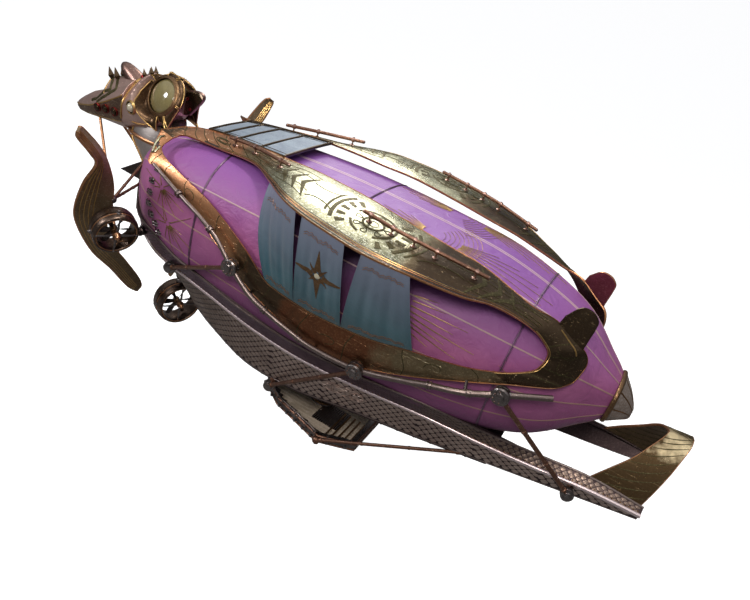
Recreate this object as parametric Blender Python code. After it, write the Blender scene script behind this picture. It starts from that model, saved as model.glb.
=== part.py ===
"""A bronze-framed airship: gas envelope, scaled keel hull with twin tail booms, side
frames, figurehead, wing blades, three ducted fans and an under-deck.

Metres, +Z up, the bow towards -X and starboard towards +Y. The origin is the middle of
the envelope, where the lift of the air acts.
"""

import math

import bmesh
import bpy
import numpy as np
from mathutils import Vector

GAP = 0.0003  # between faces that touch
PORT, STARBOARD = -1, 1
SIDES = {"port": PORT, "starboard": STARBOARD}

# Envelope: x, half width. The section is a superellipse, flatter than it is wide.
ENVELOPE = [
    (-11.66, 0.25),
    (-11.44, 0.85),
    (-10.98, 1.55),
    (-10.38, 2.20),
    (-9.62, 2.78),
    (-8.65, 3.22),
    (-7.20, 3.57),
    (-4.80, 3.84),
    (-1.70, 4.03),
    (1.90, 3.98),
    (4.80, 3.75),
    (7.70, 2.85),
    (9.40, 1.50),
    (9.95, 1.00),
]
FLATNESS = 0.833  # height over width
SQUARENESS = 2.85  # exponent of the superellipse
SKIN = 0.010
ENVELOPE_STATIONS = 21
ENVELOPE_SEGMENTS = 28

# Tail cap, behind the open end of the envelope: x, half width, drop of its middle.
TAIL_CAP = [
    (9.95, 1.09, 0.0),
    (10.10, 1.05, 0.0),
    (10.14, 0.96, 0.01),
    (10.50, 0.62, 0.12),
    (10.76, 0.32, 0.26),
    (10.84, 0.13, 0.31),
]

# Side strake of the hull, one side: x, then y and z of its lip, ridge and chine.
STRAKE = [
    (-12.10, 0.07, -0.95, 0.07, -1.60, 0.07, -2.45),
    (-11.60, 0.55, -0.95, 0.45, -1.80, 0.07, -2.95),
    (-10.80, 1.70, -1.15, 1.30, -2.00, 0.15, -3.45),
    (-9.80, 2.65, -1.20, 2.10, -2.20, 0.45, -3.72),
    (-8.60, 3.15, -1.25, 2.60, -2.40, 0.90, -4.02),
    (-7.20, 3.42, -1.60, 2.75, -2.60, 1.40, -4.62),
    (-5.60, 3.55, -1.80, 2.75, -2.90, 1.85, -5.00),
    (-3.60, 3.60, -2.15, 2.72, -3.30, 2.10, -5.45),
    (-1.20, 3.45, -2.45, 2.68, -3.50, 2.16, -5.38),
    (1.40, 3.55, -2.25, 2.66, -3.35, 2.16, -4.88),
    (4.20, 3.50, -1.95, 2.62, -3.05, 2.14, -4.42),
    (6.60, 2.75, -2.25, 2.50, -2.95, 2.10, -3.98),
    (8.60, 2.00, -2.50, 2.30, -2.88, 2.00, -3.66),
    (10.60, 1.86, -2.36, 2.20, -2.68, 1.92, -3.32),
    (12.55, 1.86, -2.42, 2.12, -2.62, 1.88, -2.96),
]
STRAKE_WALL = 0.14
KEEL_END = 7.2
KEEL_THICK, KEEL_DROP = 0.12, 0.10
# Stem bar: outline x, z from the top of its front face round to the top of its back.
STEM = [
    (-12.28, -0.92), (-12.30, -1.60), (-12.24, -2.52), (-11.72, -3.12), (-10.90, -3.62),
    (-10.90, -3.30), (-11.50, -2.85), (-11.95, -2.35), (-11.95, -0.92),
]
HALF_STEM, STEM_HEEL = 0.06, -11.7

# Tail loop, starboard half: y, then z and x of its front edge, z and x of its rear edge.
TAIL_LOOP = [
    (1.90, -2.46, 10.45, -2.50, 12.40),
    (1.60, -1.85, 10.95, -1.90, 12.60),
    (1.22, -1.20, 11.50, -1.20, 12.80),
    (0.80, -0.63, 11.88, -0.58, 12.95),
    (0.42, -0.34, 12.12, -0.24, 13.05),
    (0.0, -0.25, 12.25, -0.13, 13.08),
]
LOOP_THICK = 0.09

# Side frame, one side, as a loop round its window: outer edge x, y, z, then inner edge x, y, z.
COWL = [
    (-9.40, 2.60, 2.75, -8.80, 2.62, 2.65),
    (-8.80, 1.80, 3.00, -8.45, 2.30, 2.85),
    (-7.85, 1.45, 3.15, -6.85, 2.30, 2.95),
    (-5.60, 1.80, 3.50, -5.00, 2.76, 3.23),
    (-4.05, 1.85, 3.60, -3.69, 3.74, 3.34),
    (-2.95, 1.85, 3.65, -2.57, 4.65, 3.40),
    (-1.85, 1.90, 3.65, -1.61, 5.05, 3.36),
    (-0.45, 2.05, 3.65, -0.53, 5.26, 3.31),
    (1.40, 2.15, 3.50, 1.04, 5.34, 3.20),
    (3.05, 2.15, 3.35, 2.64, 5.06, 3.12),
    (4.20, 2.15, 3.25, 4.26, 4.42, 2.95),
    (5.60, 2.30, 2.95, 5.12, 3.80, 2.86),
    (6.30, 2.35, 2.80, 5.93, 3.42, 2.68),
    (7.15, 2.30, 2.70, 6.70, 3.05, 2.35),
]
REAR_TURN = [
    (7.15, 2.30, 2.70, 6.70, 3.05, 2.35),
    (7.90, 2.18, 2.31, 7.15, 2.90, 2.02),
    (8.43, 2.07, 2.00, 7.35, 2.88, 1.81),
    (8.63, 1.90, 1.52, 7.40, 2.93, 1.58),
    (8.53, 2.24, 1.01, 7.35, 3.08, 1.36),
    (8.35, 2.53, 0.84, 7.20, 3.20, 1.12),
    (7.95, 2.95, 0.70, 6.70, 3.50, 0.90),
    (6.70, 3.50, 0.40, 6.10, 3.75, 0.70),
]
LOWER_BAND = [
    (6.70, 3.50, 0.40, 6.10, 3.75, 0.70),
    (5.25, 3.95, -0.10, 5.05, 4.00, 0.45),
    (3.30, 4.15, -0.90, 3.30, 4.18, 0.15),
    (1.65, 4.12, -1.50, 2.00, 4.22, -0.15),
    (-0.05, 4.12, -1.75, 0.60, 4.25, -0.30),
    (-1.10, 4.16, -1.50, -0.75, 4.27, -0.33),
    (-2.40, 4.20, -1.05, -2.10, 4.25, -0.20),
    (-3.15, 4.20, -0.75, -2.70, 4.25, 0.00),
    (-4.45, 4.10, -0.10, -3.80, 4.15, 0.70),
    (-5.95, 3.90, 0.70, -5.70, 3.80, 1.45),
    (-7.40, 3.65, 1.20, -7.45, 3.45, 1.80),
    (-8.65, 3.45, 1.62, -8.40, 3.25, 2.00),
    (-9.15, 3.38, 1.75, -8.95, 3.00, 2.25),
    (-9.40, 2.60, 2.75, -8.80, 2.62, 2.65),
]
FRAME_THICK = 0.07
COWL_CROWN, BAND_CROWN = 0.05, 0.05  # rise of the plates' middle over their width
FRAME_STEPS = 2  # stations of the frame between two rows of its tables
COWL_POSTS, TURN_POSTS, BAND_POSTS = (6, 14, 22), (33,), (44, 50, 56, 62)  # stations
POST_RADIUS, POST_LENGTH = 0.09, 1.3

# Rear fin, one side: station of the frame that its foot is on, then the step x, y, z to its top.
FIN = [
    (26.3, 0.08, -0.08, 0.34),
    (27, 0.16, -0.26, 0.88),
    (28, 0.18, -0.24, 1.10),
    (29, 0.16, -0.18, 1.02),
    (29.5, 0.06, -0.10, 0.76),
]
FIN_THICK = 0.06

# Bow deck between the cowls: x, half width, z of its top.
BOW_DECK = [(-8.10, 1.38, 3.11), (-6.60, 1.54, 3.34), (-4.35, 1.84, 3.58)]
DECK_THICK = 0.06
DECK_POSTS, DECK_POST_LENGTH = [(-7.60, 0.9), (-4.80, 1.1)], 1.0  # x and y of each

# Figurehead. Each row of a loft: x, half width, z of the bottom, z of the top.
SNOUT = [
    (-16.15, 0.20, 0.92, 1.20),
    (-15.80, 0.40, 0.82, 1.50),
    (-15.20, 0.60, 0.85, 1.95),
    (-14.60, 0.76, 0.95, 2.25),
    (-14.20, 0.84, 1.00, 2.95),
    (-13.20, 1.00, 1.10, 3.20),
    (-12.90, 1.04, 1.15, 3.30),
]
SKULL = [
    (-12.8997, 1.04, 1.15, 3.30),
    (-12.60, 1.10, 1.22, 3.62),
    (-12.00, 1.14, 1.42, 3.92),
    (-11.30, 1.04, 1.75, 3.98),
    (-10.80, 0.84, 2.15, 3.74),
    (-10.45, 0.52, 2.60, 3.38),
]
HEAD_TAPER = 0.62  # how much narrower the head is at its crown
HEAD_SEGMENTS = 16
NECK = [  # x of the middle, z, half length, half width
    (-11.40, 2.30, 1.12, 0.46),
    (-11.58, 1.20, 1.38, 0.82),
    (-11.10, 0.30, 1.00, 0.90),
    (-10.60, -0.50, 0.60, 0.90),
]
HORN_ROOT, HORN_LEAN = (-12.95, 0.0, 3.02), (-1.25, 0.0, 0.68)
HORN = [(0.0, 0.40), (0.60, 0.35), (1.00, 0.25), (1.22, 0.09)]  # distance, radius
CREST = [(-10.90, 3.45), (-9.95, 3.82), (-9.62, 3.62), (-10.15, 2.78), (-10.90, 2.45)]
CREST_THICK = 0.16
EYE = (-11.21, 0.40, 3.16)
EYE_AXIS = (-0.22, 0.90, 0.36)
EYE_RADIUS, EYE_SEGMENTS = 0.72, 20
EYE_SEAT, EYE_SEAT_RADIUS, EYE_APART = -0.10, 1.02, 0.004  # apart: half the space between the rings
OTHER_SIDE = [(-13.0, 2.0), (-9.5, 2.0), (-9.5, 5.0), (-13.0, 5.0)]  # x, z that hold the eye rings
EYE_DOME = [(-0.0997, 1.0), (0.05, 1.0), (0.20, 0.93), (0.34, 0.76), (0.45, 0.50), (0.50, 0.20)]
EYE_RING_OUTER, EYE_RING_HEIGHT = 0.85, 0.14
SPIKE = [(-13.40, -1.05), (-12.10, -0.10), (-11.30, -0.05), (-11.30, -1.20), (-12.10, -1.10)]
SPIKE_THICK = 0.14

# Rail pipe, one side.
RAIL = [
    (-8.70, 3.62, 1.78),
    (-7.10, 3.95, 1.32),
    (-5.75, 4.20, 0.97),
    (-4.80, 4.36, 0.57),
    (-3.95, 4.46, -0.08),
    (-3.00, 4.50, -0.73),
    (-2.20, 4.50, -1.03),
    (-1.15, 4.45, -1.32),
    (0.0, 4.42, -1.52),
    (1.80, 4.40, -1.42),
    (3.40, 4.40, -0.93),
    (4.40, 4.34, -0.58),
    (5.55, 4.18, -0.28),
    (6.65, 3.84, 0.12),
    (8.15, 3.10, 0.47),
]
RAIL_RADIUS = 0.085
DRUM_RADIUS, DRUM_INNER, DRUM_REACH, DRUM_EDGE = 0.22, 0.12, 0.26, 0.04
DRUMS = (4, 9, 13)  # rows of the rail that carry a drum fitting
RAIL_FEET = [(62, 1), (54, 5), (50, 8), (44, 12)]  # station of the lower band, row of the rail
FOOT_RADIUS = 0.045

# Struts, one side: name, drum, ball x, y, z, then where the ball's stub ends in the hull.
STRUTS = [
    ("bow_strut", 0, (-7.60, 3.05, -2.42), (-7.60, 2.65, -2.56)),
    ("deck_strut", 1, (-2.25, 2.25, -5.80), (-2.22, 2.08, -5.50)),
    ("boom_strut", 2, (10.10, 2.42, -3.10), (10.10, 2.00, -3.02)),
]
STRUT_RADIUS, BALL_RADIUS = 0.075, 0.17

# Wing blade, one side: outer edge x, y, z, then inner edge x, y, z.
WING = [
    (-10.10, 6.15, 2.86, -10.20, 5.97, 2.98),
    (-10.09, 6.10, 2.62, -10.35, 5.66, 2.80),
    (-10.02, 5.50, 1.95, -10.42, 4.72, 1.93),
    (-10.20, 5.02, 1.38, -10.45, 4.15, 1.15),
    (-10.60, 5.12, 0.48, -10.40, 3.78, 0.25),
    (-10.88, 5.14, -0.70, -10.32, 3.78, -0.60),
    (-10.90, 4.85, -1.60, -10.50, 3.75, -1.55),
    (-10.82, 4.05, -2.90, -10.60, 3.25, -2.65),
    (-10.75, 2.95, -4.05, -10.60, 2.35, -3.70),
    (-10.70, 1.85, -5.30, -10.60, 1.35, -4.90),
    (-10.66, 1.30, -5.75, -10.60, 0.98, -5.50),
    (-10.64, 1.12, -5.84, -10.62, 1.02, -5.72),
]
WING_THICK = 0.10
STAY_HUB, STAY_BALL = (-10.33, 3.72, -0.42), 0.16
STAY_FEET = [(-10.95, 1.40, 0.60), (-10.95, 1.40, -0.40)]
CHIN, CHIN_ROD_ROW, CHIN_ROD_RADIUS = (-14.62, 0.42, 1.20), 8, 0.05

# Ducted fans: centre, direction of the outlet, size as a share of the duct's values below.
SIDE_FAN = ((-9.50, 4.38, -1.20), (0.86, 0.47, -0.20), 0.98)
SIDE_ARM_END = (-9.70, 2.20, -1.85)
BELLY_FAN = ((-9.13, 0.0, -6.05), (0.89, -0.45, 0.0), 1.14)
DUCT_OUTER, DUCT_INNER, DUCT_LENGTH = 0.92, 0.76, 0.80
GUARD_X = 0.34
SHAFT_RADIUS, SHAFT_LENGTH, SHAFT_CLEARANCE, SHAFT_SEGMENTS = 0.06, 0.40, 0.0005, 16
SWIVEL_RADIUS, SWIVEL_HEIGHT, SWIVEL_SEAT = 0.20, 0.32, 0.12  # the seat is sunk in the duct
HUB_BACK, ROTOR_SEAT = 0.14, 0.0006  # the guard hub behind its middle, and its space to the rotor
BOSS_LENGTH = 0.43
ROTOR_RADIUS, ROTOR_BLADES = 0.70, 6

# Under-deck: x and half width of its outline, one side.
UNDER_DECK = [(-3.00, 0.88), (-1.90, 1.72), (0.60, 2.50), (2.05, 1.80)]
UNDER_DECK_TOP, UNDER_DECK_BASE = -6.62, -6.92
UNDER_DECK_RIM, UNDER_DECK_FLOOR = 0.90, -6.78  # the well's share of the outline, and its floor
DECK_PYLON = (-0.55, 0.0)
PYLON_RADIUS = 0.55
DECK_PYLON_PROFILE = [(0.0, 1.2), (0.25, 1.0), (1.1, 1.0), (1.9, 1.4)]  # height, share of the radius
LONG_ROD = [(0.62, 2.62, -6.74), (6.10, 2.05, -4.08)]

# Handrails on the cowls: the stations that carry a post.
HANDRAILS = {"bow_rail": (5, 6, 8), "panel_rail": (15, 16, 17, 18, 20)}
HANDRAIL_HEIGHT, HANDRAIL_BAR, HANDRAIL_POST = 0.24, 0.035, 0.028

# Drapes, on the port side only: x of the front and rear edges at the top, then at the foot.
DRAPES = [
    (-3.52, -1.73, -2.60, -1.32),
    (-1.39, 0.37, -1.28, 0.66),
    (1.04, 2.66, 0.70, 3.38),
]
DRAPE_THICK, DRAPE_BULGE = 0.03, 0.10

# Colour, roughness, metallic.
FINISHES = {
    "envelope_cloth": ((0.30, 0.10, 0.36), 0.55, 0.0),
    "bronze": ((0.38, 0.21, 0.10), 0.38, 1.0),
    "dark_bronze": ((0.17, 0.10, 0.07), 0.45, 1.0),
    "scale_plate": ((0.22, 0.15, 0.15), 0.45, 0.9),
    "copper": ((0.42, 0.20, 0.14), 0.35, 1.0),
    "drape_cloth": ((0.08, 0.20, 0.30), 0.60, 0.0),
    "eye_glass": ((0.36, 0.32, 0.17), 0.15, 0.0),
    "slate": ((0.26, 0.32, 0.38), 0.55, 0.3),
    "stone": ((0.30, 0.24, 0.18), 0.70, 0.3),
}


def clear_scene():
    for obj in list(bpy.data.objects):
        bpy.data.objects.remove(obj, do_unlink=True)


def finish(name):
    """The named finish as a Principled material, made once."""
    found = bpy.data.materials.get(name)
    if found:
        return found
    colour, roughness, metallic = FINISHES[name]
    material = bpy.data.materials.new(name)
    material.use_nodes = True
    shader = material.node_tree.nodes["Principled BSDF"]
    shader.inputs["Base Color"].default_value = (*colour, 1.0)
    shader.inputs["Roughness"].default_value = roughness
    shader.inputs["Metallic"].default_value = metallic
    material.diffuse_color = (*colour, 1.0)
    return material


def build(name, points, faces, material=None, origin=(0.0, 0.0, 0.0), smooth_degrees=35):
    """One object from points and faces, its faces turned outwards, its origin where given."""
    mesh = bpy.data.meshes.new(name)
    shape = bmesh.new()
    corners = [shape.verts.new(Vector(point) - Vector(origin)) for point in points]
    for face in faces:
        shape.faces.new([corners[index] for index in face])
    bmesh.ops.recalc_face_normals(shape, faces=shape.faces)
    if shape.calc_volume(signed=True) < 0:
        bmesh.ops.reverse_faces(shape, faces=shape.faces)
    shape.to_mesh(mesh)
    shape.free()
    mesh.shade_smooth()
    mesh.set_sharp_from_angle(angle=math.radians(smooth_degrees))
    obj = bpy.data.objects.new(name, mesh)
    obj.location = origin
    bpy.context.scene.collection.objects.link(obj)
    if material:
        mesh.materials.append(finish(material))
    return obj


def helper(obj):
    """Marks a cutter or a joined piece, which is no node of its own."""
    obj.hide_render = True
    obj.display_type = "WIRE"
    return obj


def boolean(obj, other, operation):
    modifier = obj.modifiers.new(f"{operation.lower()} {other.name}", "BOOLEAN")
    modifier.operation = operation
    modifier.object = other
    modifier.solver = "EXACT"


def join(obj, others):
    for other in others:
        boolean(obj, helper(other), "UNION")


def clear_of(obj, *carriers):
    """Cuts obj by each carrier as it stands, grown by the gap, so that the two only touch."""
    for carrier in carriers:
        bpy.context.view_layer.update()
        graph = bpy.context.evaluated_depsgraph_get()
        mesh = bpy.data.meshes.new_from_object(carrier.evaluated_get(graph))
        mesh.transform(carrier.matrix_world)
        grow(mesh, GAP)
        cutter = bpy.data.objects.new(f"{obj.name} by {carrier.name}", mesh)
        bpy.context.scene.collection.objects.link(cutter)
        boolean(obj, helper(cutter), "DIFFERENCE")


def grow(mesh, amount):
    """Moves every face outwards by the amount, its corners along their averaged normals."""
    shape = bmesh.new()
    shape.from_mesh(mesh)
    bmesh.ops.remove_doubles(shape, verts=shape.verts, dist=1e-5)
    shape.normal_update()
    moved = [(vert, vert.normal * amount * vert.calc_shell_factor()) for vert in shape.verts]
    for vert, step in moved:
        vert.co += step
    shape.to_mesh(mesh)
    shape.free()


def smooth_rows(rows, per_span):
    """Points on a Catmull-Rom curve through the rows, with per_span steps between two rows."""
    rows = np.array(rows, float)
    before = np.vstack([2 * rows[0] - rows[1], rows[:-1]])
    after = np.vstack([rows[1:], 2 * rows[-1] - rows[-2]])
    slopes = (after - before) / 2
    found = []
    for start, end, leave, arrive in zip(rows[:-1], rows[1:], slopes[:-1], slopes[1:]):
        for t in np.arange(per_span) / per_span:
            hermite = (2 * t**3 - 3 * t**2 + 1, t**3 - 2 * t**2 + t, 3 * t**2 - 2 * t**3, t**3 - t**2)
            found.append(hermite[0] * start + hermite[1] * leave + hermite[2] * end + hermite[3] * arrive)
    return np.array(found + [rows[-1]])


def grid_faces(rows, columns, wrap=False, start=0):
    """Triangles over a grid of points numbered row by row from start, every quad split the same way."""
    faces = []
    for row in range(rows - 1):
        for column in range(columns if wrap else columns - 1):
            beside = (column + 1) % columns
            here, below = start + row * columns, start + (row + 1) * columns
            faces.append((here + column, here + beside, below + beside))
            faces.append((here + column, below + beside, below + column))
    return faces


def tube(name, rings, material=None, **more):
    """A closed solid from rings of points, each end filled."""
    count = len(rings[0])
    points = [point for ring in rings for point in ring]
    faces = grid_faces(len(rings), count, wrap=True)
    faces += [tuple(range(count)), tuple(range(len(points) - count, len(points)))]
    return build(name, points, faces, material, **more)


def outward_normals(grid, centre):
    """Unit normals of a grid of points, all on the side away from the centre."""
    normals = np.cross(np.gradient(grid, axis=0), np.gradient(grid, axis=1))
    normals /= np.maximum(np.linalg.norm(normals, axis=2, keepdims=True), 1e-9)
    away = (normals * (grid - np.array(centre))).sum()
    return normals if away > 0 else -normals


def sheet_between(name, outer, inner, material, **more):
    """A closed solid between two grids of the same size, with triangles round its rim."""
    rows, columns = outer.shape[:2]
    points = [*outer.reshape(-1, 3), *inner.reshape(-1, 3)]
    size = rows * columns
    faces = grid_faces(rows, columns) + grid_faces(rows, columns, start=size)
    rim = [row * columns for row in range(rows)]
    rim += [(rows - 1) * columns + column for column in range(1, columns)]
    rim += [row * columns + columns - 1 for row in range(rows - 2, -1, -1)]
    rim += [column for column in range(columns - 2, 0, -1)]
    for here, there in zip(rim, rim[1:] + rim[:1]):
        faces.append((here, there, there + size))
        faces.append((here, there + size, here + size))
    return build(name, points, faces, material, **more)


def plate(name, grid, thickness, centre, material=None, **more):
    """A closed sheet: the grid is its face away from the centre, the other lies thickness below."""
    grid = np.array(grid, float)
    return sheet_between(name, grid, grid - outward_normals(grid, centre) * thickness, material, **more)


def extrusion(name, outline, axis, low, high, material=None, **more):
    """A flat outline (two coordinates a point) carried along the axis from low to high."""
    def lifted(value):
        return [np.insert(np.array(point, float), axis, value) for point in outline]

    return tube(name, [lifted(low), lifted(high)], material, **more)


def frame_along(direction):
    """Two unit vectors square to the direction and to each other."""
    forward = np.array(direction, float)
    forward /= np.linalg.norm(forward)
    aside = np.cross(forward, (0.0, 0.0, 1.0) if abs(forward[2]) < 0.9 else (1.0, 0.0, 0.0))
    aside /= np.linalg.norm(aside)
    return forward, aside, np.cross(aside, forward)


def turned(name, start, direction, profile, material=None, segments=12, **more):
    """A solid of revolution: the profile is (distance along the direction, radius)."""
    forward, aside, upward = frame_along(direction)
    angles = 2 * math.pi * np.arange(segments) / segments
    rings = []
    for distance, radius in profile:
        middle = np.array(start, float) + forward * distance
        rings.append([middle + radius * (math.cos(a) * aside + math.sin(a) * upward) for a in angles])
    return tube(name, rings, material, **more)


def ball_profile(middle, radius, steps=5):
    angles = np.linspace(math.pi * 0.96, math.pi * 0.04, steps)
    return [(middle + radius * math.cos(a), radius * math.sin(a)) for a in angles]


def rod(name, start, end, radius, material=None, ball=0.0, segments=8, **more):
    """A rod between two points, with a ball at its far end where one is given."""
    start, end = np.array(start, float), np.array(end, float)
    length = float(np.linalg.norm(end - start))
    profile = [(0.0, radius), (length, radius)]
    if ball:
        around = np.linspace(math.pi - math.asin(radius / ball), 0.20, 5)
        profile = [(0.0, radius)] + [(length + ball * math.cos(a), ball * math.sin(a)) for a in around]
    return turned(name, start, end - start, profile, material, segments, **more)


def round_bar(name, path, radius, material=None, segments=8):
    """A bar of round section along a path of points."""
    path = np.array(path, float)
    tangents = np.gradient(path, axis=0)
    rings = []
    for middle, tangent in zip(path, tangents):
        _, aside, upward = frame_along(tangent)
        angles = 2 * math.pi * np.arange(segments) / segments
        rings.append([middle + radius * (math.cos(a) * aside + math.sin(a) * upward) for a in angles])
    return tube(name, rings, material)


def mirrored(points, side):
    """Points of the starboard side moved to the given side."""
    points = np.array(points, float)
    points[..., 1] *= side
    return points


def half_width(x):
    """Half width of the envelope at x, read from a smooth curve through its table."""
    curve = smooth_rows(ENVELOPE, 8)
    return float(np.interp(x, curve[:, 0], curve[:, 1]))


def envelope_ring(x, half, shrink=0.0):
    """Points round one section: a superellipse with equal steps of angle."""
    angles = 2 * math.pi * (np.arange(ENVELOPE_SEGMENTS) + 0.5) / ENVELOPE_SEGMENTS
    cosines, sines = np.cos(angles), np.sin(angles)
    reach = (np.abs(cosines) ** SQUARENESS + np.abs(sines) ** SQUARENESS) ** (-1 / SQUARENESS)
    wide, high = half - shrink, half * FLATNESS - shrink
    return [(x, wide * r * c, high * r * s) for r, c, s in zip(reach, cosines, sines)]


def envelope_profile():
    """(x, half width) of the stations, closer together at the blunt bow."""
    curve = smooth_rows(ENVELOPE, 8)
    steps = np.hypot(*np.diff(curve, axis=0).T)
    run = np.concatenate([[0], np.cumsum(steps)])
    wanted = np.linspace(0, run[-1], ENVELOPE_STATIONS)
    return np.column_stack([np.interp(wanted, run, curve[:, 0]), np.interp(wanted, run, curve[:, 1])])


def make_envelope():
    profile = envelope_profile()
    slopes = np.gradient(profile, axis=0)
    slopes /= np.linalg.norm(slopes, axis=1, keepdims=True)
    outer = [envelope_ring(x, half) for x, half in profile]
    inner = [
        envelope_ring(x + SKIN * slope[1], half, SKIN * slope[0])
        for (x, half), slope in zip(profile, slopes)
    ]
    inner[0] = envelope_ring(profile[0, 0] + SKIN, profile[0, 1], SKIN)
    inner[-1] = envelope_ring(profile[-1, 0], profile[-1, 1], SKIN)
    envelope = tube("envelope", outer + inner[::-1], "envelope_cloth", smooth_degrees=50)
    body = helper(tube("envelope body", outer))
    return envelope, body


def make_tail_cap():
    rings = [np.array(envelope_ring(x + GAP, half)) - (0.0, 0.0, drop) for x, half, drop in TAIL_CAP]
    return tube("tail_cap", rings, "stone")


def strake_grid():
    rows = np.array(smooth_rows(STRAKE, 2))
    lip = rows[:, [0, 1, 2]]
    ridge = rows[:, [0, 3, 4]]
    chine = rows[:, [0, 5, 6]]
    middle = (ridge + chine) / 2
    return np.stack([lip, ridge, middle, chine], axis=1)


def make_hull(envelope_body):
    """The two strakes, and a filled body of the hull that other pieces are cut by."""
    outer = strake_grid()
    outer[:, :, 1] = np.maximum(outer[:, :, 1], HALF_STEM + GAP)
    inner = outer - outward_normals(outer, (0.0, 0.0, 2.0)) * STRAKE_WALL
    inner[:, :, 1] = np.maximum(inner[:, :, 1], HALF_STEM + GAP)
    strakes = {}
    for word, side in SIDES.items():
        name = f"strake_{word}"
        strakes[word] = sheet_between(name, mirrored(outer, side), mirrored(inner, side), "scale_plate")
        clear_of(strakes[word], envelope_body)
    closed = outer[outer[:, 0, 0] < KEEL_END + 1.5]
    rows, columns = closed.shape[:2]
    size = rows * columns
    points = [*mirrored(closed, PORT).reshape(-1, 3), *closed.reshape(-1, 3)]
    faces = grid_faces(rows, columns) + grid_faces(rows, columns, start=size)
    for row in range(rows - 1):
        for column in (0, columns - 1):
            here, below = row * columns + column, (row + 1) * columns + column
            faces.append((here, below, below + size, here + size))
    for row in (0, rows - 1):
        left = [row * columns + column for column in range(columns)]
        faces.append(tuple(left + [index + size for index in reversed(left)]))
    return strakes, helper(build("hull body", points, faces))


def make_keel(strakes, envelope_body):
    """The stem bar between the strakes' bow edges, and the bottom plate between their chines."""
    stem = extrusion("stem", STEM, 1, -HALF_STEM, HALF_STEM, "dark_bronze")
    clear_of(stem, envelope_body)
    rows = strake_grid()[:, 3]
    rows = rows[(rows[:, 0] > STEM_HEEL) & (rows[:, 0] < KEEL_END)]
    grid = [[(x, share * (y - 0.02), z - KEEL_DROP) for share in (-1, 1)] for x, y, z in rows]
    keel = plate("keel", grid, KEEL_THICK, (0.0, 0.0, 2.0), "scale_plate")
    clear_of(keel, stem, *strakes.values())
    return stem, keel


def make_tail_loop(strakes):
    half = smooth_rows(TAIL_LOOP, 3)
    whole = np.vstack([half, half[-2::-1] * np.array([-1, 1, 1, 1, 1])])
    grid = []
    for y, z_front, x_front, z_rear, x_rear in whole:
        front, rear = np.array((x_front, y, z_front)), np.array((x_rear, y, z_rear))
        grid.append([front, (front + rear) / 2, rear])
    loop = plate("tail_loop", grid, LOOP_THICK, (12.0, 0.0, -2.5), "bronze")
    clear_of(loop, *strakes.values())


def frame_grid():
    """The side frame's outer face as a loop of stations, three points across each, starboard side."""
    rows = COWL + REAR_TURN[1:] + LOWER_BAND[1:]
    crowns = [COWL_CROWN] * len(COWL) + [BAND_CROWN] * (len(rows) - len(COWL))
    table = smooth_rows(np.column_stack([rows, crowns]), FRAME_STEPS)
    outer, inner, crown = table[:, :3], table[:, 3:6], table[:, 6]
    width = np.linalg.norm(inner - outer, axis=1)
    lift = np.cross(np.gradient(outer + inner, axis=0), inner - outer)
    lift /= np.linalg.norm(lift, axis=1, keepdims=True)
    lift *= np.sign((lift * (outer + inner) * (0, 1, 1)).sum(axis=1, keepdims=True))
    shares = np.linspace(0, 1, 3)
    rise = 4 * shares * (1 - shares)
    along = outer[:, None] * (1 - shares[:, None]) + inner[:, None] * shares[:, None]
    return along + lift[:, None] * (rise[:, None] * (crown * width)[:, None, None])


def make_frames(envelope_body):
    """Cowl, rear turn and lower band of each side, each on posts that stand on the envelope."""
    grid = frame_grid()
    below = grid - outward_normals(grid, (0.0, 0.0, 0.0)) * FRAME_THICK
    first, second = FRAME_STEPS * (len(COWL) - 1), FRAME_STEPS * (len(COWL) + len(REAR_TURN) - 2)
    spans = {
        "cowl": (0, first, COWL_POSTS),
        "rear_turn": (first, second, TURN_POSTS),
        "lower_band": (second, len(grid) - 1, BAND_POSTS),
    }
    frames = {}
    for kind, (start, end, posts) in spans.items():
        outer, inner = grid[start : end + 1].copy(), below[start : end + 1].copy()
        for end_row, next_row in ((0, 1), (-1, -2)):
            inwards = (outer[next_row] - outer[end_row]).mean(axis=0)
            inwards *= GAP / np.linalg.norm(inwards)
            outer[end_row] += inwards
            inner[end_row] += inwards
        for word, side in SIDES.items():
            name = f"{kind}_{word}"
            frame = sheet_between(name, mirrored(outer, side), mirrored(inner, side), "bronze")
            props = []
            for station in posts:
                top = mirrored((grid[station, 1] + below[station, 1]) / 2, side)
                down = mirrored(below[station, 1] - grid[station, 1], side)
                profile = [(0, POST_RADIUS), (POST_LENGTH, POST_RADIUS)]
                props.append(turned(f"{name} post {station}", top, down, profile, segments=6))
            join(frame, props)
            earlier = [other for other in frames if other.endswith(word)]
            clear_of(frame, envelope_body, *[frames[other] for other in earlier])
            frames[name] = frame
    return grid, below, frames


def make_fins(grid, below, frames):
    """Each fin grows out of the frame's outer edge at the rear turn."""
    table = np.array(FIN)
    stations = table[:, 0].astype(int)
    share = (table[:, 0] - stations)[:, None, None]
    middle = grid * 0.92 + below * 0.08
    edge = middle[stations] * (1 - share) + middle[stations + 1] * share
    foot = edge[:, 0] * 0.90 + edge[:, 1] * 0.10
    rows = smooth_rows(np.stack([foot, foot + table[:, 1:]], axis=1).reshape(len(table), 6), 2)
    fin_grid = np.stack([rows[:, :3], (rows[:, :3] + rows[:, 3:]) / 2, rows[:, 3:]], axis=1)
    for word, side in SIDES.items():
        fin = plate(f"fin_{word}", mirrored(fin_grid, side), FIN_THICK, (0.0, 0.0, 0.0), "copper")
        clear_of(fin, frames[f"rear_turn_{word}"], frames[f"cowl_{word}"])


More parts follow.
